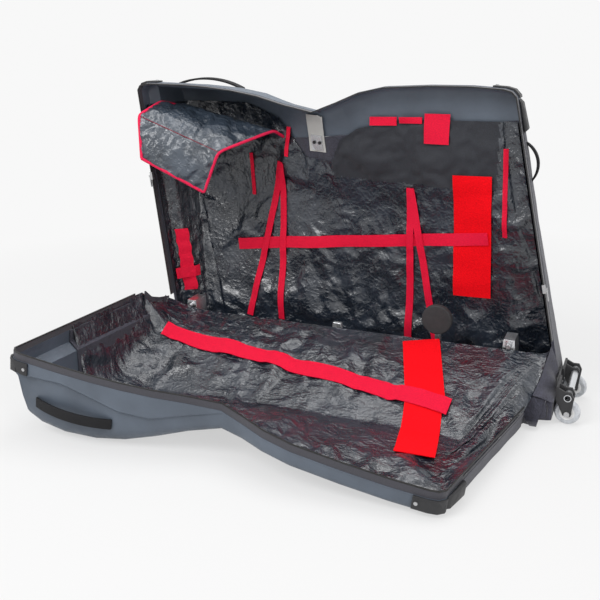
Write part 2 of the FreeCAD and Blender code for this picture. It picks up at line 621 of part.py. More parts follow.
stem = size("pad_post") / 2
stem_y = (size("stand_y") - stem, size("stand_y") + stem)
add("pad_post", box(pad_x - stem, pad_x + stem, *stem_y, rail_top, size("pad_height") + size("pad_post")))
pad_place = along_y(pad_x, size("stand_y") - size("pad_post") / 2 - size("pad_wall"), size("pad_height"))
pad = bound("Part::Cylinder", "hub_pad_disc", pad_place, Radius="sizes.pad_radius", Height="sizes.pad_wall")
doc.recompute()
rim_edges = [index + 1 for index, edge in enumerate(pad.Shape.Edges) if edge.Closed]
pad_round = doc.addObject("Part::Fillet", "hub_pad")
pad_round.Base = pad
pad_round.Edges = [(index, size("pad_wall") / 4, size("pad_wall") / 4) for index in rim_edges]
keep(pad_round, "hub_pad")

bolts = []
bolt_seat = tray_floor + rail_high
for x, reach in ((fork_x, size("mount_length")), (dropout_x, size("mount_length")),
                 (post_x, size("post_length"))):
    for direction in (-1, 1):
        bolt_x = x + direction * (reach / 2 + size("bolt_head_radius"))
        place = Vec(bolt_x, size("stand_y"), bolt_seat - lip)
        shank = Part.makeCylinder(size("bolt_radius"), lip, place)
        head_place = Vec(place.x, place.y, bolt_seat)
        bolts.append(shank.fuse(Part.makeCylinder(size("bolt_head_radius"), size("bolt_head"), head_place)))
add("stand_bolts", Part.makeCompound(bolts))

# Wheel end: plate on the tray, brackets, cross tube, bolts and two skate wheels
plate_x = station_x(1, size("tray_top"))
plate_low = size("tray_bottom") + size("tray_wall") / 2
wheel_z = size("wheel_radius")
tube_z = wheel_z + size("tube_lift")
cheek_inner = size("wheel_width") / 2 + size("cheek_gap")
cheek_outer = cheek_inner + size("cheek_wall")
plate_half = size("wheel_track") / 2 - cheek_outer - size("web_gap")
plate_high = size("plate_height")
PLATE_BEND_SHARE, PLATE_CROWN_SHARE = 0.6, 0.7
plate_loop = [(-plate_half, 0), (plate_half, 0), (plate_half, plate_high * PLATE_BEND_SHARE),
              (plate_half * PLATE_CROWN_SHARE, plate_high), (-plate_half * PLATE_CROWN_SHARE, plate_high),
              (-plate_half, plate_high * PLATE_BEND_SHARE)]
plate_place = at(plate_x, 0, plate_low)
keep(padded("end_plate", "YZ_Plane", [plate_loop], "sizes.plate_wall", plate_place), "end_plate")

bracket_from = plate_x + size("plate_wall")
boss = size("tube_radius") + size("boss_wall")
toe = size("bolt_radius") + size("boss_wall")
web_low = wheel_z + size("wheel_radius") + size("web_gap")
web_high = plate_low + plate_high
brackets = []
for side in (-1, 1):
    centre_y = side * size("wheel_track") / 2
    cheeks = []
    for direction in (-1, 1):
        y = centre_y + direction * (cheek_inner + size("cheek_wall") / 2) - size("cheek_wall") / 2
        outline = [(bracket_from, web_high), (bracket_from, web_low),
                   (size("wheel_x") - toe, wheel_z - toe / 2), (size("wheel_x") + toe, wheel_z - toe / 2),
                   (size("wheel_x") + boss, tube_z), (size("wheel_x") + boss / 2, tube_z + boss),
                   (size("wheel_x") - boss / 2, tube_z + boss)]
        cheeks.append(prism(outline, y, y + size("cheek_wall")))
    inner_y = plate_half * side * PLATE_CROWN_SHARE / 2
    web_band = sorted((centre_y + side * cheek_outer, inner_y))
    web = box(bracket_from, bracket_from + size("boss_wall"), *web_band, web_low, web_high)
    bracket = cheeks[0].fuse([cheeks[1], web])
    bores = []
    for radius, z in ((size("tube_radius"), tube_z), (size("bolt_radius"), wheel_z)):
        bores.append(Part.makeCylinder(radius, FAR, Vec(size("wheel_x"), -FAR / 2, z), Vec(0, 1, 0)))
    brackets.append(bracket.cut(bores).removeSplitter())
add("wheel_brackets", Part.makeCompound(brackets))

tube_half = size("wheel_track") / 2 + cheek_outer + size("tube_overhang")
tube_place = along_y(size("wheel_x"), -tube_half, tube_z)
tube_length = ("sizes.wheel_track + sizes.wheel_width"
               " + 2 * (sizes.cheek_gap + sizes.cheek_wall + sizes.tube_overhang)")
tube_outer = bound("Part::Cylinder", "axle_tube_outer", tube_place, Radius="sizes.tube_radius",
                   Height=tube_length)
tube_inner = bound("Part::Cylinder", "axle_tube_inner", tube_place,
                   Radius="sizes.tube_radius - sizes.tube_wall", Height=tube_length)
keep(cut_of("axle_tube", tube_outer, tube_inner), "axle_tube")

wheel_bolts = []
for side in (-1, 1):
    start_y = side * (size("wheel_track") / 2 + cheek_outer)
    direction = Vec(0, -side, 0)
    seat = Vec(size("wheel_x"), start_y, wheel_z)
    shank = Part.makeCylinder(size("bolt_radius"), cheek_outer * 2, seat, direction)
    head = Part.makeCylinder(size("bolt_head_radius"), size("bolt_head"), seat, -direction)
    wheel_bolts.append(shank.fuse(head))
add("wheel_bolts", Part.makeCompound(wheel_bolts))

half_width = size("wheel_width") / 2
tyre_in = size("wheel_radius") - size("tyre_wall")
hub_in = tyre_in - size("hub_wall")
bore = size("bolt_radius") + size("running_fit")
tread = size("tyre_wall") / 3
crown, shoulder = size("wheel_radius"), size("wheel_radius") - tread
tyre_loop = [(tyre_in, -half_width), (shoulder, -half_width), (crown - tread / 4, -half_width + tread),
             (crown, -half_width + tread * 2), (crown, half_width - tread * 2),
             (crown - tread / 4, half_width - tread), (shoulder, half_width), (tyre_in, half_width)]
recess = half_width - size("hub_recess")
hub_loop = [(hub_in, -recess), (hub_in, -half_width), (tyre_in, -half_width), (tyre_in, half_width),
            (hub_in, half_width), (hub_in, recess), (bore, recess), (bore, -recess)]
for side, prefix in ((-1, "near"), (1, "far")):
    place = along_y(size("wheel_x"), side * size("wheel_track") / 2, wheel_z)
    keep(turned(prefix + "_wheel_tyre", tyre_loop, place), prefix + "_wheel_tyre")
    keep(turned(prefix + "_wheel_hub", hub_loop, place), prefix + "_wheel_hub")

# Padded flap over the handlebar: edge sewn to the rear lining, crown, fold and hem, at both of its ends
FLAP_LEFT_SHARES = ((0.090, 0.876, 0.890), (0.052, 0.24, 0.934), (0.046, -0.36, 0.898),
                    (0.066, -0.52, 0.752))
FLAP_RIGHT_SHARES = ((0.377, 0.720, 0.806), (0.372, 0.42, 0.838), (0.262, -0.20, 0.776),
                     (0.226, -0.30, 0.635))


def flap_points(shares):
    """Profile of the flap as shares of the rim length, bulge depth and top height."""
    length, depth, height = size("rim_length"), size("bulge_depth"), size("top_height")
    return [Vec(length * x, depth * y, height * z) for x, y, z in shares]


flap_left, flap_right = flap_points(FLAP_LEFT_SHARES), flap_points(FLAP_RIGHT_SHARES)
flap_run = flap_right[0] - flap_left[0]
flap_run.normalize()


def flap_ring(points, thickness, rise):
    """Outer and inner rows of the flap's profile; it thins to the sewn edge."""
    normals = []
    for start, end in zip(points, points[1:]):
        normal = (end - start).cross(flap_run)
        normal.normalize()
        normals.append(normal if normal.z - normal.y > 0 else -normal)
    bends = [(before + after).normalize() for before, after in zip(normals, normals[1:])]
    leans = [normals[0]] + bends + [normals[-1]]
    thin = [size("webbing_wall") * 2] + [thickness] * (len(points) - 1)
    outer = [point + lean * rise for point, lean in zip(points, leans)]
    inner = [point - lean * depth for point, lean, depth in zip(points, leans, thin)]
    return outer, inner


def between(first, second, share):
    """Points part of the way from one profile to the other."""
    return [start + (end - start) * share for start, end in zip(first, second)]


edge_share = size("binding_width") / (flap_right[2] - flap_left[2]).Length
flap_room = half(REAR, LINING_IN + size("layer_gap"), -FAR)
flap_rings = []
for share in (edge_share, 1 - edge_share):
    flap_rings.append(flap_ring(between(flap_left, flap_right, share), size("flap_wall"), 0))
add("handlebar_flap", quilt(flap_rings).common(flap_room))
bindings = []
gap_share = edge_share * size("binding_gap") / size("binding_width")
for start, end in ((0, edge_share - gap_share), (1 - edge_share + gap_share, 1)):
    proud = size("binding_proud")
    rings = []
    for share in (start, end):
        rings.append(flap_ring(between(flap_left, flap_right, share), size("flap_wall") + proud, proud))
    bindings.append(quilt(rings).common(flap_room))
add("flap_binding", Part.makeCompound(bindings))

FLAP_STRAP_SHARES = (((0.395, 0.845), (0.388, 0.735)), ((0.262, 0.735), (0.268, 0.575)))
flap_strap_outlines = [bar(spot(*ends[0]), spot(*ends[1]), size("strip_width")) for ends in FLAP_STRAP_SHARES]
add("flap_straps", on_rear_lining(WEB_OUT, WEB_IN, flap_strap_outlines, SKIN_Y))

# Slack lining of the lid: from the ridge of the sill down to the floor of the lid and up its front wall
SLACK_SHARES = [row[0] for row in STATION_SHARES[5:-2]]
SLACK_BEND_SHARE = 0.35


def lid_spot(share, depth, z):
    """A place inside the lid, given with the lid shut, moved to where it is with the lid open."""
    return lid_open.multVec(Vec(station_x(share, z), -depth, z))


def lid_row(share):
    """The station at a share of the length."""
    return [row for row in STATION_SHARES if row[0] == share][0]


def slack_profile(share, lift):
    """Upper line of the slack lining at one station, from the front of the lid to the ridge."""
    row = lid_row(share)
    bulge = size("bulge_depth")
    clear = LINING_IN + lift
    if share == SLACK_SHARES[0]:
        clear += size("textile_wall")
    x = station_x(share, size("tray_top"))
    ridge = Vec(x, -size("half_gap") - size("sill_wall"), size("sill_height") + size("layer_gap") + lift)
    foot = lid_spot(share, bulge * row[7] - clear, size("belly_height"))
    slope = ridge + (foot - ridge) * SLACK_BEND_SHARE + Vec(0, 0, size("sill_wall") * 2)
    front_z = size("top_height") - size("dip_depth") * row[2] - size("edge_round") * row[6]
    front = lid_spot(share, bulge * row[3] - clear, front_z - size("step_height") - clear)
    return [front, foot, slope, ridge]


def slack_ring(share, lift, thickness):
    """Closed profile of a slack layer that lies lift above the lid."""
    upper = slack_profile(share, lift)
    lower = [point - Vec(0, 0, thickness) for point in upper]
    return upper, lower


slack = size("slack_wall")
add("lid_lining", quilt([slack_ring(share, slack, slack) for share in SLACK_SHARES]))

over_lining = slack + size("webbing_wall") + size("layer_gap")
over_band = over_lining + size("webbing_wall") + size("layer_gap")
strap_layer = quilt([slack_ring(share, over_lining, size("webbing_wall")) for share in SLACK_SHARES])
top_layer = quilt([slack_ring(share, over_band, size("webbing_wall")) for share in SLACK_SHARES])


def plan_strip(start, end, width):
    """An upright block over a straight strip in plan."""
    corners = [Vec(x, y, -FAR / 2) for x, y in bar(start, end, width)]
    return Part.Face(Part.makePolygon(corners + corners[:1])).extrude(Vec(0, 0, FAR))


def plan_spot(x_share, y_share):
    """A place in plan, as shares of the rim length and top height in front of the zip."""
    return (size("rim_length") * x_share, -size("top_height") * y_share)


LID_BAND_SHARES = (((0.800, 0.035), (0.885, 0.250)), ((0.877, 0.235), (0.925, 0.560)))
LID_CROSS_SHARES = ((0.095, 0.100), (0.930, 0.270))
band_runs = []
for start, end in LID_BAND_SHARES:
    band_runs.append(plan_strip(plan_spot(*start), plan_spot(*end), size("lid_band_width")))
add("lid_loop_band", strap_layer.common(band_runs[0].fuse(band_runs[1])).removeSplitter())
cross_ends = [plan_spot(*share) for share in LID_CROSS_SHARES]
cross_zone = plan_strip(*cross_ends, size("lid_cross_width"))
add("lid_cross_strap", top_layer.common(cross_zone))

# Soft outer gussets that join the base to the lid: along the front and at both ends
drop = Vec(0, 0, -size("slack_wall"))


def lid_edge_z(x):
    """Height of the lower edge of the lid's textile wall, with the lid shut."""
    return size("lid_edge_left") + size("lid_edge_rise") * (x - LEFT) / (RIGHT - LEFT)


front_rows = []
for share in SLACK_SHARES:
    row = lid_row(share)
    x = station_x(share, size("tray_top"))
    edge_z = lid_edge_z(station_x(share, size("lid_edge_left")))
    rise_share = (edge_z - size("tray_top")) / (size("belly_height") - size("tray_top"))
    depth = size("bulge_depth") * (row[9] + (row[7] - row[9]) * rise_share) - size("textile_wall")
    tray_edge = Vec(x, -size("bulge_depth") * row[8] - size("layer_gap"), size("tray_top"))
    lid_edge_spot = lid_spot(share, depth, edge_z - size("layer_gap"))
    front_rows.append(([tray_edge, lid_edge_spot], [tray_edge + drop, lid_edge_spot + drop]))
gussets = [quilt(front_rows)]
END_GUSSET_SHARES = ((0, 0.034, 0.046), (1, 1, 1))
for share, lid_share, wall_share in END_GUSSET_SHARES:
    outward = 2 * share - 1
    row = lid_row(wall_share)
    clear_x = -outward * size("tape_inset")
    seam_y = size("half_gap") - size("slider_room")
    ridge_z = size("sill_height") if outward < 0 else size("zip_end_height") - size("lining_edge")
    zip_foot = Vec(station_x(share, size("zip_end_height")) + clear_x, seam_y, size("zip_end_height"))
    ridge_foot = Vec(station_x(share, ridge_z) + clear_x, seam_y, ridge_z)
    edge_z = lid_edge_z(station_x(lid_share, size("lid_edge_left"))) - size("layer_gap")
    wall_depth = SKIN_Y - size("lining_edge")
    if outward < 0:
        wall_depth = size("bulge_depth") * row[9] - size("textile_wall")
    rim_foot = lid_spot(lid_share, SKIN_Y - size("lining_edge") * 2, edge_z)
    wall_foot = lid_spot(lid_share, wall_depth, edge_z)
    side_step = Vec(outward * size("slack_wall"), 0, 0)
    near_row = [rim_foot, wall_foot]
    far_row = [zip_foot, ridge_foot]
    gussets.append(quilt([(far_row, [point + side_step for point in far_row]),
                          (near_row, [point + side_step for point in near_row])]))
add("soft_gussets", Part.makeCompound(gussets))

# Zip sliders with their pull tabs on the straight end runs of the rear tape
slider_half = size("slider_length") / 2
slider_inner = size("coil_wall") + size("slider_room")
plate = size("slider_plate")
web_from = size("slider_room") / 2
web_to = size("half_gap") - size("slider_room") / 2
left_height = size("top_height") - size("slider_left_drop")
right_height = size("zip_end_height") + size("slider_right_rise")
for share, label, height in ((0, "left", left_height), (1, "right", right_height)):
    outward = -1 if share == 0 else 1
    fall = station_x(share, size("tray_top")) - station_x(share, size("top_height"))
    lean = math.degrees(math.atan2(fall, size("top_height") - size("tray_top")))
    face_x = -outward * size("tape_inset")

    def span(start, end):
        """X range outwards from the coil's outer face."""
        return sorted((face_x + outward * start, face_x + outward * end))

    outer_plate = box(*span(size("slider_room"), size("slider_room") + plate), web_from, size("slider_width"),
                      -slider_half, slider_half)
    inner_plate = box(*span(-slider_inner - plate, -slider_inner), web_from, size("slider_width"),
                      -slider_half, slider_half)
    bridge = box(*span(-slider_inner - plate, size("slider_room") + plate), web_from, web_to,
                 -slider_half, slider_half)
    lug_x = size("slider_room") + plate
    pin_x = face_x + outward * (lug_x + size("pull_wall") + size("slider_room"))
    lug_end = lug_x + size("pull_wall") + size("pin_radius") + size("slider_room") * 2
    lug = box(*span(lug_x - plate / 2, lug_end), web_from, web_from + plate,
              -size("pull_wall"), size("pull_wall"))
    pin = Part.makeCylinder(size("pin_radius"), size("pull_width"), Vec(pin_x, web_from, 0), Vec(0, 1, 0))
    slider = outer_plate.fuse([inner_plate, bridge, lug, pin])
    turn = FreeCAD.Placement(Vec(station_x(share, height), 0, height), FreeCAD.Rotation(Vec(0, 1, 0), -lean))
    add("zip_slider_" + label, slider.removeSplitter(), turn)
    eye = size("pin_radius") + size("running_fit")
    tab_y = (web_from + plate + size("slider_room") / 2, size("pull_width") + web_from)
    tab = box(pin_x - size("pull_wall") / 2, pin_x + size("pull_wall") / 2, *tab_y, -size("pull_length"), 0)
    eye_rim = size("pin_radius") + size("slider_room") + size("layer_gap") / 2
    tab = tab.fuse(Part.makeCylinder(eye_rim, tab_y[1] - tab_y[0], Vec(pin_x, tab_y[0], 0), Vec(0, 1, 0)))
    tab = tab.cut(Part.makeCylinder(eye, FAR, Vec(pin_x, -FAR / 2, 0), Vec(0, 1, 0)))
    add("zip_pull_" + label, tab.removeSplitter(), turn)

# Origin in the middle of the floor under the open case
doc.recompute()
whole = FreeCAD.BoundBox()
for obj in nodes:
    whole.add(obj.Shape.BoundBox)
shift = Vec(-(whole.XMin + whole.XMax) / 2, -(whole.YMin + whole.YMax) / 2, -whole.ZMin)
for obj in nodes:
    obj.Placement = FreeCAD.Placement(shift, FreeCAD.Rotation()).multiply(obj.Placement)
doc.recompute()

for obj in doc.Objects:
    if "Invalid" in obj.State or "Error" in obj.State:
        raise RuntimeError("%s failed: %s" % (obj.Name, obj.State))
for obj in nodes:
    if obj.Shape.isNull() or not obj.Shape.isValid() or not obj.Shape.Solids:
        raise RuntimeError("%s has no valid solid" % obj.Label)

os.makedirs("parts", exist_ok=True)
for obj in nodes:
    obj.Shape.exportStep("parts/%s.step" % obj.Label)

print("nodes %d, box %.1f x %.1f x %.1f mm" % (len(nodes), whole.XLength, whole.YLength, whole.ZLength))
print("shift %.3f %.3f %.3f" % (shift.x, shift.y, shift.z))
print("lid hinge through", hinge_point + shift, "along", hinge_axis)
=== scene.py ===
"""Looks of the open bike travel case: materials, wrinkled linings, webbing, padded flap, camera and light.

Lengths are in metres. Places inside the case are given as in its CAD model: x from the top corner at the
handlebar end, y from the zip towards the rear half, z from the floor.
"""
import math
import bmesh
import bpy
import numpy as np
from mathutils import Matrix, Vector, noise
from mathutils.bvhtree import BVHTree


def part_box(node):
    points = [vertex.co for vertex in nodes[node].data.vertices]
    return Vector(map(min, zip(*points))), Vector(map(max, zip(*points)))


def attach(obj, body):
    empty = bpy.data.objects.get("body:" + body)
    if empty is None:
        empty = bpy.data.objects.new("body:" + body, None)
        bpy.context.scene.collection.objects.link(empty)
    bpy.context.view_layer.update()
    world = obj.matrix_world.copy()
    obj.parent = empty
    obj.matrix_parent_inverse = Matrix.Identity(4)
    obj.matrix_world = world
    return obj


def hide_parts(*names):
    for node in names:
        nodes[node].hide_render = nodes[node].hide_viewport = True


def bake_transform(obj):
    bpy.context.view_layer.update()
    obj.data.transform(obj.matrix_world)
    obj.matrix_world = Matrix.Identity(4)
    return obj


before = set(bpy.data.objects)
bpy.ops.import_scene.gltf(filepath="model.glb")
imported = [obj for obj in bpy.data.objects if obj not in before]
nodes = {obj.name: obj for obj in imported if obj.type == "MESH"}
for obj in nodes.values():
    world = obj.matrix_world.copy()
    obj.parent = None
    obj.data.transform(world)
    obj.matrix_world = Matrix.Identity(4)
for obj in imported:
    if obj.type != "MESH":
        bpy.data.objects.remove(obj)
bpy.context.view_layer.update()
scene = bpy.context.scene

# Where the CAD model's own zero lies in the frame
TRAY_START = 0.097
COIL_START = 0.003
HOME = Vector((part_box("base_tray")[0].x - TRAY_START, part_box("rear_zip_coil")[0].y - COIL_START, 0))


def place(x, y, z):
    """A place inside the case, in the frame."""
    return HOME + Vector((x, y, z))


# Materials

NOISE = "ShaderNodeTexNoise"
WAVE = "ShaderNodeTexWave"


def set_inputs(node, values):
    """Sets inputs of a shader node by their names."""
    for key, value in values.items():
        node.inputs[key].default_value = value


def shader(name, color, roughness, metallic=0.0):
    """A material and its principled node, ready for detail."""
    material = bpy.data.materials.new(name)
    material.use_nodes = True
    bsdf = material.node_tree.nodes["Principled BSDF"]
    set_inputs(bsdf, {"Base Color": (*color, 1), "Roughness": roughness, "Metallic": metallic})
    return material, bsdf


def texture(bsdf, kind, scale, stretch=(1, 1, 1), output="Fac", **settings):
    """An output of a texture in object coordinates, which are metres in the frame."""
    tree = bsdf.id_data
    coordinates = tree.nodes.new("ShaderNodeTexCoord")
    mapping = tree.nodes.new("ShaderNodeMapping")
    node = tree.nodes.new(kind)
    set_inputs(mapping, {"Scale": stretch})
    set_inputs(node, {"Scale": scale, **settings})
    tree.links.new(coordinates.outputs["Object"], mapping.inputs["Vector"])
    tree.links.new(mapping.outputs["Vector"], node.inputs["Vector"])
    return node.outputs[output]


def ramp(bsdf, source, key, low, high, start=0.35, end=0.65):
    """Feeds an input with two colours or grey levels, spread over the range of a texture."""
    tree = bsdf.id_data
    node = tree.nodes.new("ShaderNodeValToRGB")
    for element, position, color in zip(node.color_ramp.elements, (start, end), (low, high)):
        element.position = position
        element.color = (*color, 1)
    tree.links.new(source, node.inputs["Fac"])
    tree.links.new(node.outputs["Color"], bsdf.inputs[key])


def bump(bsdf, height, distance, strength=1.0):
    """Relief from a texture, over any relief that the shader already has."""
    tree = bsdf.id_data
    node = tree.nodes.new("ShaderNodeBump")
    set_inputs(node, {"Distance": distance, "Strength": strength})
    tree.links.new(height, node.inputs["Height"])
    if bsdf.inputs["Normal"].links:
        tree.links.new(bsdf.inputs["Normal"].links[0].from_socket, node.inputs["Normal"])
    tree.links.new(node.outputs["Normal"], bsdf.inputs["Normal"])


def tone(color, factor):
    """A lighter or darker tone of a colour."""
    return tuple(min(1.0, channel * factor) for channel in color)


def shaded(bsdf, source, color, dark, light, **span):
    """Lets the colour vary with a texture, between two tones."""
    ramp(bsdf, source, "Base Color", tone(color, dark), tone(color, light), **span)


def gloss(bsdf, source, roughness, less, more):
    """Lets the roughness vary with a texture."""
    ramp(bsdf, source, "Roughness", (roughness - less,) * 3, (roughness + more,) * 3)


def moulded(name, color, roughness, grain=1400, relief=0.00012, spread=0.12):
    """Moulded plastic: fine grain, slight cloudy tone and gloss changes."""
    material, bsdf = shader(name, color, roughness)
    cloud = texture(bsdf, NOISE, scale=9, Detail=4.0)
    shaded(bsdf, cloud, color, dark=1 - spread, light=1 + spread)
    scuff = texture(bsdf, NOISE, scale=60, Detail=6.0)
    gloss(bsdf, scuff, roughness, less=0.08, more=0.10)
    fine = texture(bsdf, NOISE, scale=grain, Detail=2.0)
    bump(bsdf, fine, distance=relief)
    return material


def woven(name, color, roughness, threads=420, relief=0.0006, speckle=0.35, sheen=0.25):
    """Woven cloth: crossing threads with speckled yarn and a little sheen."""
    material, bsdf = shader(name, color, roughness)
    yarn = texture(bsdf, NOISE, scale=threads * 1.6, Detail=3.0)
    shaded(bsdf, yarn, color, dark=1 - speckle, light=1 + speckle, start=0.4, end=0.62)
    weave = texture(bsdf, "ShaderNodeTexVoronoi", scale=threads, output="Distance")
    bump(bsdf, weave, distance=relief, strength=0.8)
    folds = texture(bsdf, NOISE, scale=14, Detail=5.0)
    bump(bsdf, folds, distance=relief * 6, strength=0.35)
    set_inputs(bsdf, {"Sheen Weight": sheen, "Sheen Roughness": 0.5})
    return material


def ridged(bsdf, scale, stretch, detail):
    """Noise with sharp ridges, as thin cloth has where it is creased."""
    node = texture(bsdf, NOISE, scale, stretch).node
    node.noise_type = "RIDGED_MULTIFRACTAL"
    set_inputs(node, {"Detail": detail, "Roughness": 0.55, "Offset": 0.9, "Gain": 1.6})
    return node.outputs["Fac"]


def coated_lining(name, color, roughness):
    """Thin coated cloth: glossy and creased all over, with painted shade in the fold hollows and painted
    light on the fold crests.
    """
    material, bsdf = shader(name, color, roughness)
    folds = texture(bsdf, NOISE, scale=11, Detail=6.0)
    bump(bsdf, folds, distance=0.010, strength=0.4)
    creased = ridged(bsdf, scale=22, stretch=(0.7, 1.3, 0.6), detail=4.0)
    bump(bsdf, creased, distance=0.0040, strength=0.65)
    crinkle = ridged(bsdf, scale=85, stretch=(0.8, 1.2, 0.8), detail=3.0)
    bump(bsdf, crinkle, distance=0.0013, strength=0.7)
    gloss(bsdf, folds, roughness, less=0.07, more=0.12)
    # Painted shade and light: the colour follows the fold relief, darker in its hollows and lighter on its
    # crests
    shaded(bsdf, folds, color, dark=0.75, light=1.35)
    set_inputs(bsdf, {"Specular IOR Level": 0.75, "Coat Weight": 0.45, "Coat Roughness": 0.14})
    return material


def webbing(name, color):
    """Ribbed strap webbing."""
    material, bsdf = shader(name, color, roughness=0.62)
    rib = texture(bsdf, WAVE, scale=900, Distortion=0.6, Detail=1.0)
    bump(bsdf, rib, distance=0.0004, strength=0.7)
    shade = texture(bsdf, NOISE, scale=420, Detail=2.0)
    shaded(bsdf, shade, color, dark=0.88, light=1.06)
    set_inputs(bsdf, {"Specular IOR Level": 0.2})
    return material


def metal(name, color, roughness):
    """Brushed or satin metal."""
    material, bsdf = shader(name, color, roughness, metallic=1.0)
    lines = texture(bsdf, NOISE, scale=160, stretch=(1, 30, 1), Detail=3.0)
    bump(bsdf, lines, distance=0.0002, strength=0.4)
    gloss(bsdf, lines, roughness, less=0.08, more=0.12)
    return material


def cast_tyre(color):
    """Pale cast skate tyre that lets a little light in, scuffed on the tread."""
    material, bsdf = shader("cast_tyre", color, roughness=0.30)
    scuff = texture(bsdf, NOISE, scale=90, Detail=5.0)
    shaded(bsdf, scuff, color, dark=0.75, light=1.1)
    set_inputs(bsdf, {"Subsurface Weight": 0.35, "Subsurface Radius": (0.01, 0.01, 0.011),
                      "Coat Weight": 0.3})
    return material


def zip_coil(painted_gap_shade, painted_crest_light):
    """Zip coil: fine teeth across the strip, with painted shade in the gaps between the teeth and painted
    light on their crests.
    """
    material, bsdf = shader("zip_coil", (painted_gap_shade, painted_gap_shade, painted_gap_shade), roughness=0.40)
    teeth = texture(bsdf, WAVE, scale=260, stretch=(1, 0, 1), Distortion=0.0)
    bump(bsdf, teeth, distance=0.0012, strength=1.0)
    # Painted shade and light: the colour follows the teeth's relief, dark in the gaps and lighter on the
    # crests
    ramp(bsdf, teeth, "Base Color", (painted_gap_shade,) * 3, (painted_crest_light,) * 3)
    return material


SHELL = moulded("shell_plastic", (0.092, 0.113, 0.145), 0.45, relief=0.0002)
SHELL_INSIDE = moulded("shell_inside", (0.120, 0.124, 0.148), 0.36, relief=0.0003)
TEXTILE = woven("case_textile", (0.036, 0.036, 0.054), 0.82, threads=330, speckle=0.75)
SILL_CLOTH = woven("sill_textile", (0.030, 0.029, 0.036), 0.75, threads=330, speckle=0.5)
# LINING and FLAP_CLOTH get painted shade in their fold hollows and painted light on their fold crests
LINING = coated_lining("lining_cloth", (0.012, 0.017, 0.027), 0.22)
PANEL = woven("panel_cloth", (0.017, 0.019, 0.026), 0.75, threads=420, speckle=0.4, sheen=0.1)
FLAP_CLOTH = coated_lining("flap_cloth", (0.030, 0.042, 0.060), 0.28)
STRAP = webbing("strap_webbing", (0.93, 0.008, 0.050))
BAND = woven("band_loop_cloth", (0.86, 0.002, 0.008), 0.85, threads=260, relief=0.0008, speckle=0.12,
             sheen=0.0)
set_inputs(BAND.node_tree.nodes["Principled BSDF"], {"Specular IOR Level": 0.12})
BINDING = webbing("binding_tape", (0.90, 0.020, 0.095))
SEAM = webbing("flap_seam_tape", (0.24, 0.014, 0.030))
TAPE = woven("zip_tape", (0.040, 0.039, 0.050), 0.70, threads=600, relief=0.0003, speckle=0.25)
# The coil's gap and crest tones are painted shade and painted light
COIL = zip_coil(painted_gap_shade=0.012, painted_crest_light=0.05)
BLACK = moulded("black_plastic", (0.020, 0.020, 0.022), 0.50)
HANDLE = webbing("handle_webbing", (0.020, 0.020, 0.022))
ALLOY = metal("satin_alloy", (0.68, 0.69, 0.71), 0.34)
STEEL = metal("plated_steel", (0.50, 0.50, 0.51), 0.30)
TYRE = cast_tyre((0.55, 0.57, 0.60))
HUB = moulded("white_hub", (0.78, 0.78, 0.78), 0.35)
PALE = moulded("pale_sheet", (0.52, 0.52, 0.50), 0.55)
PAD = moulded("pad_foam", (0.030, 0.030, 0.032), 0.80, grain=500, relief=0.0005)

# CAD nodes that show as they are; the others get a piece of their own below
NODE_MATERIALS = (
    (STEEL, ("rear_bumper_screws", "lid_bumper_screws", "stand_axles", "stand_bolts", "wheel_bolts",
             "zip_slider_left", "zip_slider_right", "zip_pull_left", "zip_pull_right")),
    (ALLOY, ("waist_bracket", "stand_rail", "axle_tube")),
    (BLACK, ("waist_screws",)),
    (PALE, ("waist_plate",)),
    (TYRE, ("near_wheel_tyre", "far_wheel_tyre")),
    (HUB, ("near_wheel_hub", "far_wheel_hub")),
    (COIL, ("rear_zip_coil", "lid_zip_coil")),
)
for material, shown_nodes in NODE_MATERIALS:
    for node_name in shown_nodes:
        nodes[node_name].data.materials.clear()
        nodes[node_name].data.materials.append(material)


# Mesh helpers

TO_LEFT, TO_RIGHT = Vector((-1, 0, 0)), Vector((1, 0, 0))
TO_FRONT, TO_BACK = Vector((0, -1, 0)), Vector((0, 1, 0))
DOWN, UP = Vector((0, 0, -1)), Vector((0, 0, 1))
WELD = 0.00002
FLAT_DEGREES = 0.5
WAVE_STEP = 0.028
WAVE_TURNS = 4
WAVE_SCALE = 13
CLOTH = {"quality": 6, "mass": 0.15, "tension_stiffness": 15, "compression_stiffness": 15,
         "shear_stiffness": 6, "air_damping": 2.0, "vertex_group_mass": "sewn"}
CLOTH_FRAMES = 20
RIPPLE = 0.002
RIPPLE_SCALE = 40
CREASE_OCTAVES = 3
SLANT = Vector((0.31, 0.53, 0.79))


def new_object(name, vertices, faces, material, smooth=True):
    """A mesh object from plain lists."""
    mesh = bpy.data.meshes.new(name)
    mesh.from_pydata([tuple(v) for v in vertices], [], faces)
    mesh.validate()
    obj = bpy.data.objects.new(name, mesh)
    scene.collection.objects.link(obj)
    mesh.materials.append(material)
    if smooth:
        mesh.shade_smooth()
    return obj


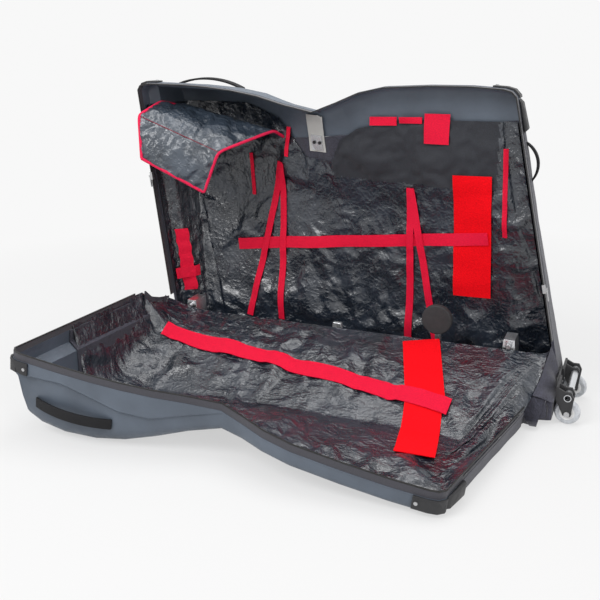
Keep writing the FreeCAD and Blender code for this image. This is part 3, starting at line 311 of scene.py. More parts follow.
def fair_copy(node_name, body, material, angle=38, bevel=0.0, inside=None, middle=None, wave=0.0):
    """A welded, smoothly shaded stand-in for a CAD node, with its edges softened.

    Faces that look at the middle of the case get the inside material. A wave lets the outer faces undulate.
    """
    mesh = nodes[node_name].data.copy()
    if "custom_normal" in mesh.attributes:
        mesh.attributes.remove(mesh.attributes["custom_normal"])
    work = bmesh.new()
    work.from_mesh(mesh)
    bmesh.ops.remove_doubles(work, verts=work.verts, dist=WELD)
    if wave:
        for turn in range(WAVE_TURNS):
            long_edges = [edge for edge in work.edges if edge.calc_length() > WAVE_STEP]
            bmesh.ops.subdivide_edges(work, edges=long_edges, cuts=1)
            bmesh.ops.triangulate(work, faces=work.faces)
    else:
        bmesh.ops.dissolve_limit(work, angle_limit=math.radians(FLAT_DEGREES), verts=work.verts,
                                 edges=work.edges)
    work.normal_update()
    for face in work.faces:
        face.material_index = 0
        if inside and face.normal.dot(middle(face.calc_center_median())) > 0:
            face.material_index = 1
    if wave:
        for vertex in work.verts:
            if all(face.material_index == 0 for face in vertex.link_faces):
                vertex.co += vertex.normal * wave * noise.noise(vertex.co * WAVE_SCALE)
    work.to_mesh(mesh)
    work.free()
    obj = bpy.data.objects.new(node_name + "_look", mesh)
    scene.collection.objects.link(obj)
    mesh.materials.clear()
    mesh.materials.append(material)
    if inside:
        mesh.materials.append(inside)
    if bevel:
        edge = obj.modifiers.new("edge", "BEVEL")
        edge.width = bevel
        edge.segments = 3
        edge.limit_method = "ANGLE"
        edge.angle_limit = math.radians(angle)
        obj.data = bpy.data.meshes.new_from_object(obj.evaluated_get(bpy.context.evaluated_depsgraph_get()))
        obj.modifiers.clear()
    obj.data.shade_smooth()
    obj.data.set_sharp_from_angle(angle=math.radians(angle))
    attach(obj, body)
    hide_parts(node_name)


def surface_of(*objects):
    """A tree for casting rays on some meshes."""
    vertices, faces = [], []
    for obj in objects:
        start = len(vertices)
        vertices += [vertex.co.copy() for vertex in obj.data.vertices]
        faces += [[start + index for index in polygon.vertices] for polygon in obj.data.polygons]
    return BVHTree.FromPolygons(vertices, faces)


def hit(tree, origin, direction, otherwise=None):
    """First point that a ray meets, or what to take otherwise."""
    found = tree.ray_cast(origin, direction)[0]
    return otherwise if found is None else found


def grid_faces(rows, columns):
    """Quads of a grid of points stored row by row."""
    starts = [i * columns + j for i in range(rows - 1) for j in range(columns - 1)]
    return [(a, a + 1, a + columns + 1, a + columns) for a in starts]


def ring_faces(rings, sides):
    """Quads between closed rings of points stored ring by ring."""
    pairs = [(i * sides + k, i * sides + (k + 1) % sides) for i in range(rings - 1) for k in range(sides)]
    return [(a, b, b + sides, a + sides) for a, b in pairs]


def resample(points, count):
    """The same number of points on every row, evenly spaced along it."""
    points = np.array([tuple(p) for p in points])
    steps = np.r_[0, np.cumsum(np.linalg.norm(np.diff(points, axis=0), axis=1))]
    wanted = np.linspace(0, steps[-1], count)
    return np.stack([np.interp(wanted, steps, points[:, k]) for k in range(3)], axis=1)


def creases(p, scale, seed):
    """Ridged noise between 0 and 1: sharp folds with soft hollows between them."""
    shifted = Vector((p[0] * scale[0] + seed, p[1] * scale[1], p[2] * scale[2]))
    total, weight, reach = 0.0, 1.0, 0.0
    for octave in range(CREASE_OCTAVES):
        total += weight * (1 - abs(noise.noise(shifted * (2 ** octave))) * 2)
        reach += weight
        weight *= 0.5
    return max(0.0, min(1.0, total / reach))


def folded(point, folds):
    """Layers of creases at a place, each given by its scale, seed and weight."""
    return sum(creases(point, scale, seed) * weight for scale, seed, weight in folds)


def border_fade(share, along, rate):
    """Zero at the border of a sheet, rising to one inside it."""
    return min(1.0, min(share, 1 - share, along, 1 - along) * rate)


def crumple(obj, pinned, facing, grow, highest, lowest, bending, pressure=0.0):
    """Cloth simulation of a sheet that is larger than its place: it wrinkles between its sewn points.

    Movement is capped, towards the facing direction by highest and away from it by lowest.
    """
    mesh = obj.data
    rest = [vertex.co.copy() for vertex in mesh.vertices]
    normals = [vertex.normal.copy() for vertex in mesh.vertices]
    normals = [normal if normal.dot(facing(co)) > 0 else -normal for normal, co in zip(normals, rest)]
    held = set(pinned)
    for index, vertex in enumerate(mesh.vertices):
        if index not in held:
            vertex.co += normals[index] * RIPPLE * noise.noise(vertex.co * RIPPLE_SCALE)
    group = obj.vertex_groups.new(name="sewn")
    group.add(list(held), 1.0, "REPLACE")
    cloth = obj.modifiers.new("cloth", "CLOTH")
    wanted = {"bending_stiffness": bending, "shrink_min": -grow, "use_pressure": pressure > 0,
              "uniform_pressure_force": pressure}
    for key, value in {**CLOTH, **wanted}.items():
        setattr(cloth.settings, key, value)
    cloth.settings.effector_weights.gravity = 0.0
    cloth.collision_settings.use_collision = False
    cloth.point_cache.frame_start = 1
    cloth.point_cache.frame_end = CLOTH_FRAMES
    for frame_number in range(1, CLOTH_FRAMES + 1):
        scene.frame_set(frame_number)
    graph = bpy.context.evaluated_depsgraph_get()
    shown = obj.evaluated_get(graph)
    moved = [vertex.co.copy() for vertex in shown.to_mesh().vertices]
    shown.to_mesh_clear()
    obj.modifiers.clear()
    obj.vertex_groups.clear()
    scene.frame_set(1)
    for vertex, start, end, normal in zip(mesh.vertices, rest, moved, normals):
        step = end - start
        rise = step.dot(normal)
        slide = step - normal * rise
        if slide.length > highest:
            slide *= highest / slide.length
        vertex.co = start + slide + normal * max(-lowest, min(highest, rise))
    mesh.update()


def tube(points, radius, spacing, sides=8):
    """A round strip swept along a line of points."""
    length = sum((Vector(b) - Vector(a)).length for a, b in zip(points, points[1:]))
    line = [Vector(p) for p in resample(points, max(6, int(length / spacing)))]
    vertices = []
    across = SLANT
    for i, here in enumerate(line):
        along = (line[min(i + 1, len(line) - 1)] - line[max(i - 1, 0)]).normalized()
        across = (across - along * across.dot(along)).normalized()
        third = along.cross(across)
        for k in range(sides):
            turn = 2 * math.pi * k / sides
            vertices.append(here + (across * math.cos(turn) + third * math.sin(turn)) * radius)
    faces = ring_faces(len(line), sides)
    faces.append(tuple(range(sides))[::-1])
    faces.append(tuple(range(len(vertices) - sides, len(vertices))))
    return vertices, faces


# Smooth stand-ins for shells, walls and rigid trim

MIDDLE_LEFT, MIDDLE_RIGHT = 0.20, 1.05
MIDDLE_HEIGHT = 0.45


def middle_of(front, back):
    """A function that gives the way from a place on one half of the case to the middle of that half."""
    def toward(place_on):
        x = min(max(place_on.x, HOME.x + MIDDLE_LEFT), HOME.x + MIDDLE_RIGHT)
        y = min(max(place_on.y, HOME.y + front), HOME.y + back)
        return Vector((x, y, MIDDLE_HEIGHT)) - place_on
    return toward


rear_middle = middle_of(front=-0.10, back=-0.10)
lid_middle = middle_of(front=-0.52, back=-0.25)
fair_copy("rear_shell", "case", SHELL, inside=SHELL_INSIDE, middle=rear_middle)
fair_copy("lid_shell", "lid", SHELL, inside=SHELL_INSIDE, middle=lid_middle)
fair_copy("rear_wall", "case", TEXTILE, inside=LINING, middle=rear_middle, wave=0.0018)
fair_copy("lid_wall", "lid", TEXTILE, inside=LINING, middle=lid_middle, wave=0.0018)
fair_copy("base_tray", "case", TEXTILE, bevel=0.002)
fair_copy("base_sill", "case", SILL_CLOTH, bevel=0.003)
fair_copy("rear_zip_tape", "case", TAPE)
fair_copy("lid_zip_tape", "lid", TAPE)
fair_copy("hub_pad", "case", PAD, bevel=0.003)
for trim, body, bevel in (
        ("rear_end_foot", "case", 0.004), ("lid_end_foot", "lid", 0.004),
        ("rear_corner_bumpers", "case", 0.0012), ("lid_corner_bumpers", "lid", 0.0012),
        ("wheel_brackets", "case", 0.0015), ("end_plate", "case", 0.002), ("base_runners", "case", 0.002)):
    fair_copy(trim, body, BLACK, bevel=bevel)
for trim, body in (("rear_carry_handle", "case"), ("lid_carry_handle", "lid"), ("rear_end_loop", "case")):
    fair_copy(trim, body, HANDLE, bevel=0.0018)
for trim in ("fork_mount", "dropout_mount", "stand_post", "pad_post"):
    fair_copy(trim, "case", ALLOY, bevel=0.002)


# Rear lining: the inside of the rear half followed level by level, then creased

LINING_COLUMNS = 190
LINING_ROWS = 96
LEFT_WALL, RIGHT_WALL = 26, 12
RIB_COLUMNS = (5, 10, 15, 20)
LEVEL_STEP = 0.010
LEVEL_TOP = 0.62
SLOPE_LEVELS = 6
RIM_INSET = 0.002
CONTOUR_X = 0.55
END_REACH = (0.11, 0.05)
SIDE_SAMPLES, BACK_SAMPLES = 24, 150
BACK_INSET = 0.004
LINING_LIFT = 0.0012
CREASE_DEPTH = 0.005
REAR_FADE = 14
REAR_FOLDS = (((6.5, 6.5, 3.2), 3.1, 0.75), ((14, 14, 9), 8.4, 0.35))
CHANNELS = (0.640, 0.668, 0.850, 0.895, 1.085)
CHANNEL_ROWS = slice(20, 87)
PANEL_LOW, PANEL_HIGH = (0.60, 0.575), (1.085, 0.80)
lining_tree = surface_of(nodes["rear_lining"])
lining_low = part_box("rear_lining")[0]


def rear_contour(z):
    """Inner face of the rear lining at one height, from the handlebar end round to the wheel end."""
    rim = lining_low.y + RIM_INSET
    middle = Vector((HOME.x + CONTOUR_X, rim, z))
    left, right = hit(lining_tree, middle, TO_LEFT), hit(lining_tree, middle, TO_RIGHT)
    if left is None or right is None:
        return None
    sides = []
    for start_x, direction in ((left.x + END_REACH[0], TO_LEFT), (right.x - END_REACH[1], TO_RIGHT)):
        back = hit(lining_tree, Vector((start_x, rim, z)), TO_BACK)
        if back is None:
            return None
        depths = np.linspace(rim, back.y - RIM_INSET, SIDE_SAMPLES)
        points = [hit(lining_tree, Vector((start_x, y, z)), direction) for y in depths]
        sides.append([point for point in points if point is not None])
    first, last = sides[0][-1].x + BACK_INSET, sides[1][-1].x - BACK_INSET
    along = np.linspace(first, last, BACK_SAMPLES)
    back_line = [hit(lining_tree, Vector((x, rim, z)), TO_BACK) for x in along]
    if None in back_line:
        return None
    return resample(sides[0] + back_line + sides[1][::-1], LINING_COLUMNS)


def lining_top(x):
    """Upper edge of the lining at a place along the case, lowest at the waist."""
    along = (-0.10, 0.305, 0.43, 0.51, 0.60, 0.645, 0.712, 0.88, 1.40)
    height = (0.785, 0.78, 0.742, 0.628, 0.622, 0.688, 0.728, 0.757, 0.765)
    return float(np.interp(x - HOME.x, along, height))


def into_case(column):
    """Direction from a column of the rear lining into the case."""
    if column < LEFT_WALL:
        return TO_RIGHT
    if column > LINING_COLUMNS - RIGHT_WALL:
        return TO_LEFT
    return TO_FRONT


def rear_lining():
    """The creased lining of the rear half."""
    levels = np.arange(lining_low.z + RIM_INSET, HOME.z + LEVEL_TOP, LEVEL_STEP)
    contours = [rear_contour(z) for z in levels]
    kept = [(z, contour) for z, contour in zip(levels, contours) if contour is not None]
    heights = np.array([z for z, contour in kept])
    stack = np.stack([contour for z, contour in kept])
    vertices = []
    for row in range(LINING_ROWS):
        share = row / (LINING_ROWS - 1)
        for column in range(LINING_COLUMNS):
            inward = into_case(column)
            last, before = stack[-1, column], stack[-SLOPE_LEVELS, column]
            z = heights[0] + (lining_top(last[0]) - heights[0]) * share
            if z <= heights[-1]:
                point = [np.interp(z, heights, stack[:, column, k]) for k in range(3)]
            else:
                slope = (last - before) / (heights[-1] - heights[-SLOPE_LEVELS])
                point = list(last + slope * (z - heights[-1]))
                if inward is TO_FRONT:
                    origin = Vector((point[0], lining_low.y + RIM_INSET, z))
                    point = list(hit(lining_tree, origin, TO_BACK, point))
            point[2] = z
            fade = border_fade(share, column / LINING_COLUMNS, REAR_FADE)
            fold = folded(point, REAR_FOLDS)
            vertices.append(Vector(point) + inward * (LINING_LIFT + CREASE_DEPTH * fold * fade * fade))
    obj = new_object("rear_lining_cloth", vertices, grid_faces(LINING_ROWS, LINING_COLUMNS), LINING)
    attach(obj, "case")
    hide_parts("rear_lining")
    return obj


def rear_sewn(obj):
    """Points where the rear lining is sewn: border, ribs of the end wall and stitched channels."""
    x = np.array([vertex.co.x - HOME.x for vertex in obj.data.vertices]).reshape(LINING_ROWS, LINING_COLUMNS)
    along = x[LINING_ROWS // 2, LEFT_WALL:-RIGHT_WALL]
    channels = [LEFT_WALL + np.abs(along - channel).argmin() for channel in CHANNELS]
    sewn = np.zeros(x.shape, bool)
    sewn[[0, -1]] = True
    sewn[:, [0, -1, *RIB_COLUMNS]] = True
    sewn[CHANNEL_ROWS, channels] = True
    return np.flatnonzero(sewn).tolist()


def add_panel(obj):
    """Gives the upper part of the lining at the wheel end its own matt cloth."""
    obj.data.materials.append(PANEL)
    for polygon in obj.data.polygons:
        x, z = polygon.center.x - HOME.x, polygon.center.z
        if PANEL_LOW[0] < x < PANEL_HIGH[0] and PANEL_LOW[1] < z < PANEL_HIGH[1]:
            polygon.material_index = 1


rear_cloth = rear_lining()
add_panel(rear_cloth)
crumple(rear_cloth, rear_sewn(rear_cloth), rear_middle, grow=0.035, highest=0.014, lowest=0.0008, bending=1.2)


# Lid lining: slack cloth from the ridge of the sill down into the lid and up its end walls

WALL_COLUMNS = 16
FLOOR_COLUMNS = 150
RIGHT_COLUMNS = 10
LID_COLUMNS = WALL_COLUMNS + FLOOR_COLUMNS + RIGHT_COLUMNS
LID_ROWS = 92
ROUND_TURNS = 14
ROUND_LEFT, ROUND_RIGHT = 10, 8
PLACE_TURNS = 3
REACH_SAMPLES = 160
FRONT_EASE = 0.012
END_LIMIT = -0.56
WALL_REACH = 0.05
WALL_NEAR = 0.08
WALL_CLEAR = 0.004
LID_LIFT = 0.0006
LID_CREASE = 0.006
LID_FADE = 12
LID_FOLDS = (((5.0, 7.5, 5), 5.7, 0.8), ((13, 15, 9), 2.2, 0.35))
BARE_CORNER = -0.454
BARE_TURN = Vector((-0.004, 0, 0.006))
EDGE_INSET = 0.010
SEWN_CHANNELS = (0.165, 0.190, 0.440, 0.462)
SEWN_WIDTH = 0.004
SEWN_FRONT, SEWN_BACK = -0.36, -0.10
WALL_SEAM = 5
WALL_SEAM_BACK = -0.12
ABOVE = 1.0
# Upper edges of the cloth at the ends of the lid, as y, x and z
LEFT_EDGE = ((-0.684, 0.014, 0.240), (-0.334, 0.054, 0.243), (-0.146, 0.075, 0.245), (-0.112, 0.077, 0.216),
             (-0.060, 0.082, 0.198), (-0.003, 0.086, 0.187))
RIGHT_EDGE = ((-0.667, 1.130, 0.066), (-0.166, 1.223, 0.065), (-0.085, 1.243, 0.116), (-0.003, 1.257, 0.180))
slack_tree = surface_of(nodes["lid_lining"])
end_tree = surface_of(nodes["lid_wall"], nodes["lid_shell"])
slack_low, slack_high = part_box("lid_lining")


def edge_at(edge, y):
    """The upper edge of an end wall's cloth at one distance from the zip."""
    rows = np.array(edge)
    return place(np.interp(y, rows[:, 0], rows[:, 1]), y, np.interp(y, rows[:, 0], rows[:, 2]))


def slack_reach():
    """How far the CAD lining reaches: its front along x, and its two ends along y."""
    along = np.linspace(slack_low.x + 0.003, slack_high.x - 0.003, REACH_SAMPLES)
    depth = np.linspace(slack_low.y + 0.002, slack_high.y - 0.001, REACH_SAMPLES)
    met = np.array([[hit(slack_tree, Vector((x, y, ABOVE)), DOWN) is not None for y in depth] for x in along])
    front = np.array([depth[column.argmax()] if column.any() else np.nan for column in met])
    known = ~np.isnan(front)
    front = np.interp(along, along[known], front[known])
    first = np.array([along[row.argmax()] for row in met.T])
    last = np.array([along[len(along) - 1 - row[::-1].argmax()] for row in met.T])
    return (along, front), (depth, first, last)


FRONT, ENDS = slack_reach()


def lid_row(share):
    """One line of the lid's lining: down one end wall, over the floor and up the other."""
    ridge = slack_high.y - 0.001
    floor = []
    for along in np.linspace(0, 1, FLOOR_COLUMNS):
        y = ridge + (FRONT[1].min() - ridge) * share
        for turn in range(PLACE_TURNS):
            level = max(y, HOME.y + END_LIMIT)
            x = np.interp(level, ENDS[0], ENDS[1]) * (1 - along) + np.interp(level, ENDS[0], ENDS[2]) * along
            y = ridge + (np.interp(x, *FRONT) + FRONT_EASE - ridge) * share
        nearest = slack_tree.find_nearest(Vector((x, y, 0.1)))[0]
        floor.append(hit(slack_tree, Vector((x, y, ABOVE)), DOWN, nearest))
    sides = []
    for edge, foot, outward, count in ((LEFT_EDGE, floor[0], TO_LEFT, WALL_COLUMNS),
                                       (RIGHT_EDGE, floor[-1], TO_RIGHT, RIGHT_COLUMNS)):
        top = edge_at(edge, foot.y - HOME.y) + DOWN * EDGE_INSET
        if edge is LEFT_EDGE and foot.y - HOME.y < BARE_CORNER:
            top = foot + BARE_TURN
        side = []
        for height in np.linspace(0, 1, count + 1)[:-1]:
            point = top.lerp(foot, height)
            wall = hit(end_tree, Vector((foot.x - outward.x * WALL_REACH, foot.y, point.z)), outward)
            if wall is not None and abs(wall.x - point.x) < WALL_NEAR:
                point.x = wall.x - outward.x * WALL_CLEAR
            side.append(point)
        sides.append(side)
    left = resample(sides[0] + [floor[0]], WALL_COLUMNS + 1)[:-1]
    right = resample([floor[-1]] + sides[1][::-1], RIGHT_COLUMNS + 1)[1:]
    line = np.concatenate([left, [tuple(point) for point in floor], right])
    for turn in range(ROUND_TURNS):
        calm = (line[:-2] + 2 * line[1:-1] + line[2:]) / 4
        for low, high in ((1, WALL_COLUMNS + ROUND_LEFT),
                          (LID_COLUMNS - RIGHT_COLUMNS - ROUND_RIGHT, LID_COLUMNS - 1)):
            line[low:high] = calm[low - 1:high - 1]
    return line


def lid_lining():
    """The lid's lining before it wrinkles."""
    vertices = []
    for row in range(LID_ROWS):
        share = row / (LID_ROWS - 1)
        line = lid_row(share)
        for column, point in enumerate(line):
            fade = border_fade(share, column / LID_COLUMNS, LID_FADE)
            vertices.append(Vector(point) + UP * (LID_LIFT + LID_CREASE * folded(point, LID_FOLDS) * fade))
    obj = new_object("lid_lining_cloth", vertices, grid_faces(LID_ROWS, LID_COLUMNS), LINING)
    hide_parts("lid_lining")
    return obj


def lid_sewn(obj):
    """Points where the lid's lining is sewn: border, a seam on the end wall, short channels on the floor."""
    pinned = []
    for index, vertex in enumerate(obj.data.vertices):
        row, column = divmod(index, LID_COLUMNS)
        x, y = vertex.co.x - HOME.x, vertex.co.y - HOME.y
        border = row in (0, LID_ROWS - 1) or column in (0, LID_COLUMNS - 1)
        bare = column < WALL_COLUMNS and y < BARE_CORNER + 0.01
        wall_seam = column == WALL_SEAM and y < WALL_SEAM_BACK
        near = min(abs(x - channel) for channel in SEWN_CHANNELS) < SEWN_WIDTH
        floor_channel = near and column > WALL_COLUMNS and SEWN_FRONT < y < SEWN_BACK
        if border or bare or wall_seam or floor_channel:
            pinned.append(index)
    return pinned


lid_cloth = lid_lining()
crumple(lid_cloth, lid_sewn(lid_cloth), lid_middle, grow=0.035, highest=0.013, lowest=0.003, bending=1.2)


# Webbing that lies on the linings

def spread(values, window):
    """Running mean over an odd window, with the ends held."""
    return np.convolve(np.pad(values, window // 2, "edge"), np.ones(window) / window, "valid")


def filled(depth):
    """Fills the places where no ray met the cloth from their neighbours along the strip, then across it."""
    spots = np.arange(len(depth))
    columns = []
    for column in depth.T:
        met = ~np.isnan(column)
        columns.append(np.interp(spots, spots[met], column[met]) if met.any() else None)
    known = next(column for column in columns if column is not None)
    for index, column in enumerate(columns):
        known = known if column is None else column
        columns[index] = known
    return np.stack(columns, axis=1)


def strip_on(tree, path, width, toward, lift, loop, taut):
    """A flat strip laid on a surface along a path, seen from where the rays start."""
    length = sum((b - a).length for a, b in zip(path, path[1:]))
    steps = max(8, int(length / STEP))
    line = [Vector(point) for point in resample(path, steps)]
    origins, depth = [], np.full((steps, ACROSS + 1), np.nan)
    for i in range(steps):
        ahead = line[min(i + 1, steps - 1)] - line[max(i - 1, 0)]
        side = ahead.cross(toward).normalized()
        origins.append([line[i] + side * width * (j / ACROSS - 0.5) for j in range(ACROSS + 1)])
        for j, origin in enumerate(origins[i]):
            found = hit(tree, origin, toward)
            if found is not None:
                depth[i, j] = found.dot(toward)
    depth = filled(depth)
    level, slope = depth.mean(axis=1), (depth[:, -1] - depth[:, 0]) / ACROSS
    level, slope = [spread(values, 2 * taut + 3) for values in (level, slope)]
    flat = level[:, None] + slope[:, None] * (np.arange(ACROSS + 1) - ACROSS / 2)[None, :]
    nearest = np.pad((depth - flat).min(axis=1), 2, "edge")
    clear = spread(np.minimum.reduce([np.roll(nearest, k)[2:-2] for k in (-2, -1, 0, 1, 2)]), 3)
    clear = clear - loop * np.abs(np.sin(np.linspace(0, math.pi * round(length / LOOP_PITCH), steps)))
    vertices = []
    for i in range(steps):
        top, under = [], []
        for j, origin in enumerate(origins[i]):
            crown = CROWN * math.sin(math.pi * j / ACROSS)
            rise = flat[i, j] + clear[i] - lift
            base = origin - toward * origin.dot(toward)
            top.append(base + toward * (rise - (WEB + crown)))
            under.append(base + toward * rise)
        vertices += top + under[::-1]
    ring = 2 * (ACROSS + 1)
    faces = ring_faces(steps, ring)
    for a in (0, (steps - 1) * ring):
        faces += [(a + ring - 1 - j, a + ring - 2 - j, a + j + 1, a + j) for j in range(ACROSS)]
    return vertices, faces


def join_parts(parts):
    """Several strips as one mesh."""
    vertices, faces = [], []
    for part_vertices, part_faces in parts:
        start = len(vertices)
        vertices += part_vertices
        faces += [tuple(start + index for index in face) for face in part_faces]
    return vertices, faces


WEB = 0.0016
CROWN = 0.0006
LOOP_PITCH = 0.044
STEP = 0.008
ACROSS = 4
# The cloth that each kind of webbing lies on, the way it is laid on, and how its two coordinates are read
LAID = {
    "back": (rear_cloth, TO_BACK, lambda x, z: place(x, 0.02, z)),
    "end": (rear_cloth, TO_LEFT, lambda y, z: place(0.33, y, z)),
    "lid": (lid_cloth, DOWN, lambda x, y: place(x, y, 0.6)),
}


def lay_webbing(node_name, way, strips, lift=0.0008, loop=0.0, taut=1, over=(), material=STRAP):
    """Webbing on a lining, replacing its CAD node. A strip is a list of places and a width."""
    cloth, toward, spot = LAID[way]
    tree = surface_of(cloth, *over)
    parts = []
    for points, width in strips:
        parts.append(strip_on(tree, [spot(*point) for point in points], width, toward, lift, loop, taut))
    obj = new_object(node_name + "_web", *join_parts(parts), material)
    obj.data.set_sharp_from_angle(angle=math.radians(45))
    if way != "lid":
        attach(obj, "case")
    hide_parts(node_name)
    return obj


ON_TOP = 0.0012
rear_band = lay_webbing("rear_loop_band", "back", [([(1.024, 0.257), (1.019, 0.612)], 0.106)],
                        material=BAND)
rear_strap = lay_webbing("rear_cross_strap", "back", [([(0.255, 0.329), (1.066, 0.436)], 0.036)],
                         ON_TOP, taut=4, over=[rear_band])
lay_webbing("rear_edge_strip", "back", [([(1.112, 0.444), (1.106, 0.690)], 0.013)])
lay_webbing("tie_down_front", "back",
            [([(0.306, 0.104), (0.409, 0.606)], 0.021), ([(0.419, 0.104), (0.411, 0.600)], 0.021)],
            ON_TOP, taut=5, over=[rear_strap])
lay_webbing("tie_down_rear", "back",
            [([(0.838, 0.104), (0.839, 0.562)], 0.021), ([(0.919, 0.104), (0.841, 0.556)], 0.021)],
            ON_TOP, taut=5, over=[rear_strap])
lay_webbing("saddle_strap", "back",
            [([(0.918, 0.694), (0.918, 0.776)], 0.070), ([(0.725, 0.750), (0.803, 0.752)], 0.024),
             ([(0.812, 0.756), (0.876, 0.757)], 0.018)])
lay_webbing("flap_straps", "back",
            [([(0.446, 0.716), (0.438, 0.626)], 0.013), ([(0.296, 0.624), (0.303, 0.490)], 0.013)])
lay_webbing("daisy_chain", "end", [([(0.065, 0.188), (0.065, 0.388)], 0.026)], loop=0.005)
lay_webbing("daisy_strap", "end", [([(0.028, 0.248), (0.100, 0.248)], 0.034)], lift=0.0075)
lid_band = lay_webbing("lid_loop_band", "lid",
                       [([(0.911, -0.026), (0.978, -0.235)], 0.102),
                        ([(0.973, -0.222), (1.014, -0.472)], 0.098)],
                       lift=0.001, taut=2, material=BAND)
lid_strap = lay_webbing("lid_cross_strap", "lid",
                        [([(0.150, -0.150), (0.376, -0.163), (1.044, -0.246)], 0.042)],
                        ON_TOP, taut=6, over=[lid_band])


# Padded flap over the handlebar: sewn line, crown, fold and hem at its two ends

FLAP_LEFT = ((0.1017, 0.1796, 0.7565), (0.0588, 0.0492, 0.7939),
             (0.0520, -0.0738, 0.7633), (0.0746, -0.1066, 0.6392))
FLAP_RIGHT = ((0.4260, 0.1476, 0.6851), (0.4204, 0.0861, 0.7123),
              (0.2961, -0.0410, 0.6596), (0.2554, -0.0615, 0.5398))
FLAP_RUNS = (18, 26, 24)
FLAP_ROWS = sum(FLAP_RUNS) + 1
FLAP_COLUMNS = 60
BEND_TURNS = 10
EDGE_ROWS = 7
SEAM_FULLNESS, SEAM_GAIN = 0.55, 0.09
CROWN_ROW = FLAP_RUNS[0]
FOLD_ROW = FLAP_RUNS[0] + FLAP_RUNS[1]
FLAP_THICK = 0.013
HEM_THICK = 0.004
BINDING_RADIUS = 0.0046
SEAM_RADIUS = 0.0013


def flap_profile(points):
    """One end of the flap from its sewn line to its hem, with soft bends."""
    points = [place(*point) for point in points]
    runs = [resample(pair, count + 1)[:-1] for pair, count in zip(zip(points, points[1:]), FLAP_RUNS)]
    line = np.concatenate(runs + [np.array([tuple(points[-1])])])
    for turn in range(BEND_TURNS):
        line[1:-1] = (line[:-2] + 2 * line[1:-1] + line[2:]) / 4
    return line


def flap_sheet():
    """Middle surface of the flap, its normals and the thickness of the padding, as grids."""
    left, right = flap_profile(FLAP_LEFT), flap_profile(FLAP_RIGHT)
    share = np.linspace(0, 1, FLAP_COLUMNS)[None, :, None]
    grid = left[:, None, :] * (1 - share) + right[:, None, :] * share
    normals = np.cross(np.gradient(grid, axis=1), np.gradient(grid, axis=0))
    normals /= np.linalg.norm(normals, axis=2, keepdims=True)
    if normals[FOLD_ROW].mean(axis=0)[2] < 0:
        normals = -normals
    row = np.arange(FLAP_ROWS)[:, None]
    column = np.arange(FLAP_COLUMNS)[None, :]
    edge = np.minimum(np.minimum(row, FLAP_ROWS - 1 - row), np.minimum(column, FLAP_COLUMNS - 1 - column))
    seam = np.minimum(abs(row - CROWN_ROW), abs(row - FOLD_ROW))
    fullness = np.minimum(1, np.sqrt(edge / EDGE_ROWS)) * np.minimum(1, SEAM_FULLNESS + SEAM_GAIN * seam)
    return grid, normals, HEM_THICK + (FLAP_THICK - HEM_THICK) * fullness[:, :, None]


flap_grid, flap_normals, flap_padding = flap_sheet()


def padded_flap():
    """The flap as a closed pad between two cloths, swollen and wrinkled between its seams."""
    outer = flap_grid.reshape(-1, 3)
    inner = (flap_grid - flap_normals * flap_padding).reshape(-1, 3)
    count = FLAP_ROWS * FLAP_COLUMNS
    faces = grid_faces(FLAP_ROWS, FLAP_COLUMNS)
    faces += [tuple(count + index for index in face[::-1]) for face in faces]
    index = np.arange(count).reshape(FLAP_ROWS, FLAP_COLUMNS)
    rim = np.concatenate([index[0], index[1:, -1], index[-1, -2::-1], index[-2:0:-1, 0]]).tolist()
    faces += [(a, b, count + b, count + a) for a, b in zip(rim, rim[1:] + rim[:1])]
    obj = new_object("handlebar_flap_pad", np.concatenate([outer, inner]), faces, FLAP_CLOTH)
    work = bmesh.new()
    work.from_mesh(obj.data)
    bmesh.ops.recalc_face_normals(work, faces=work.faces)
    work.to_mesh(obj.data)
    work.free()
    sewn = rim + index[[CROWN_ROW, FOLD_ROW]].ravel().tolist()
    pinned = sewn + [count + point for point in sewn]
    outward = [Vector(n) for n in flap_normals.reshape(-1, 3)]
    away = {tuple(round(c, 6) for c in v.co): (outward[i] if i < count else -outward[i - count])
            for i, v in enumerate(obj.data.vertices)}
    crumple(obj, pinned, lambda co: away[tuple(round(c, 6) for c in co)],
            grow=0.045, highest=0.009, lowest=0.004, bending=0.3, pressure=3.0)
    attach(obj, "flap")
    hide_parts("handlebar_flap")


def flap_trim():
    """Binding round the free edges of the flap and the thin seam along its fold."""
    middle = flap_grid - flap_normals * flap_padding / 2
    path = list(middle[:, 0]) + list(middle[-1, 1:]) + list(middle[-2::-1, -1])
    obj = new_object("flap_binding_tape", *tube(path, BINDING_RADIUS, 0.006), BINDING)
    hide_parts("flap_binding")
    seam = new_object("flap_fold_seam", *tube(list(flap_grid[FOLD_ROW]), SEAM_RADIUS, 0.008, 6), SEAM)
    for piece in (obj, seam):
        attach(piece, "flap")


padded_flap()
flap_trim()


# Soft gussets between base and lid

TRAY_TOP = 0.070
TRAY_FRONT = -0.112
GUSSET_LEVELS = 14
FRONT_GUSSET = (0.098, 1.268)
GUSSET_TUCK = 0.009
APRON_X = 0.087
APRON_BACK = -0.022
APRON_FRONT, APRON_FOOT = -0.152, 0.024
END_SPOTS = 18
ZIP_START = -0.003
UNDER_ZIP = 0.003
SKIRT_LOW = 0.004
GUSSET_COLUMNS, GUSSET_ROWS = 70, 30
GUSSET_LEAN, GUSSET_NARROWING = 0.010, 0.006
GUSSET_CLEAR = 0.003
GUSSET_HIGH, GUSSET_FOOT = 0.074, 0.012
TRAY_PROBE = 0.06
IN_FRONT, BELOW = -0.4, -0.5
HEM_ROWS = 6
HEM_LOWEST = 0.002
HEM_FRONT = -0.166
LEFT_HINGE, RIGHT_HINGE = (-0.040, 0.208), (0.0575, 0.1255)
FAN_BASE, FAN_LID = (-0.122, 0.074), (-0.131, 0.012)
FAN_HALF = 0.006
FAN_PLEATS = 36


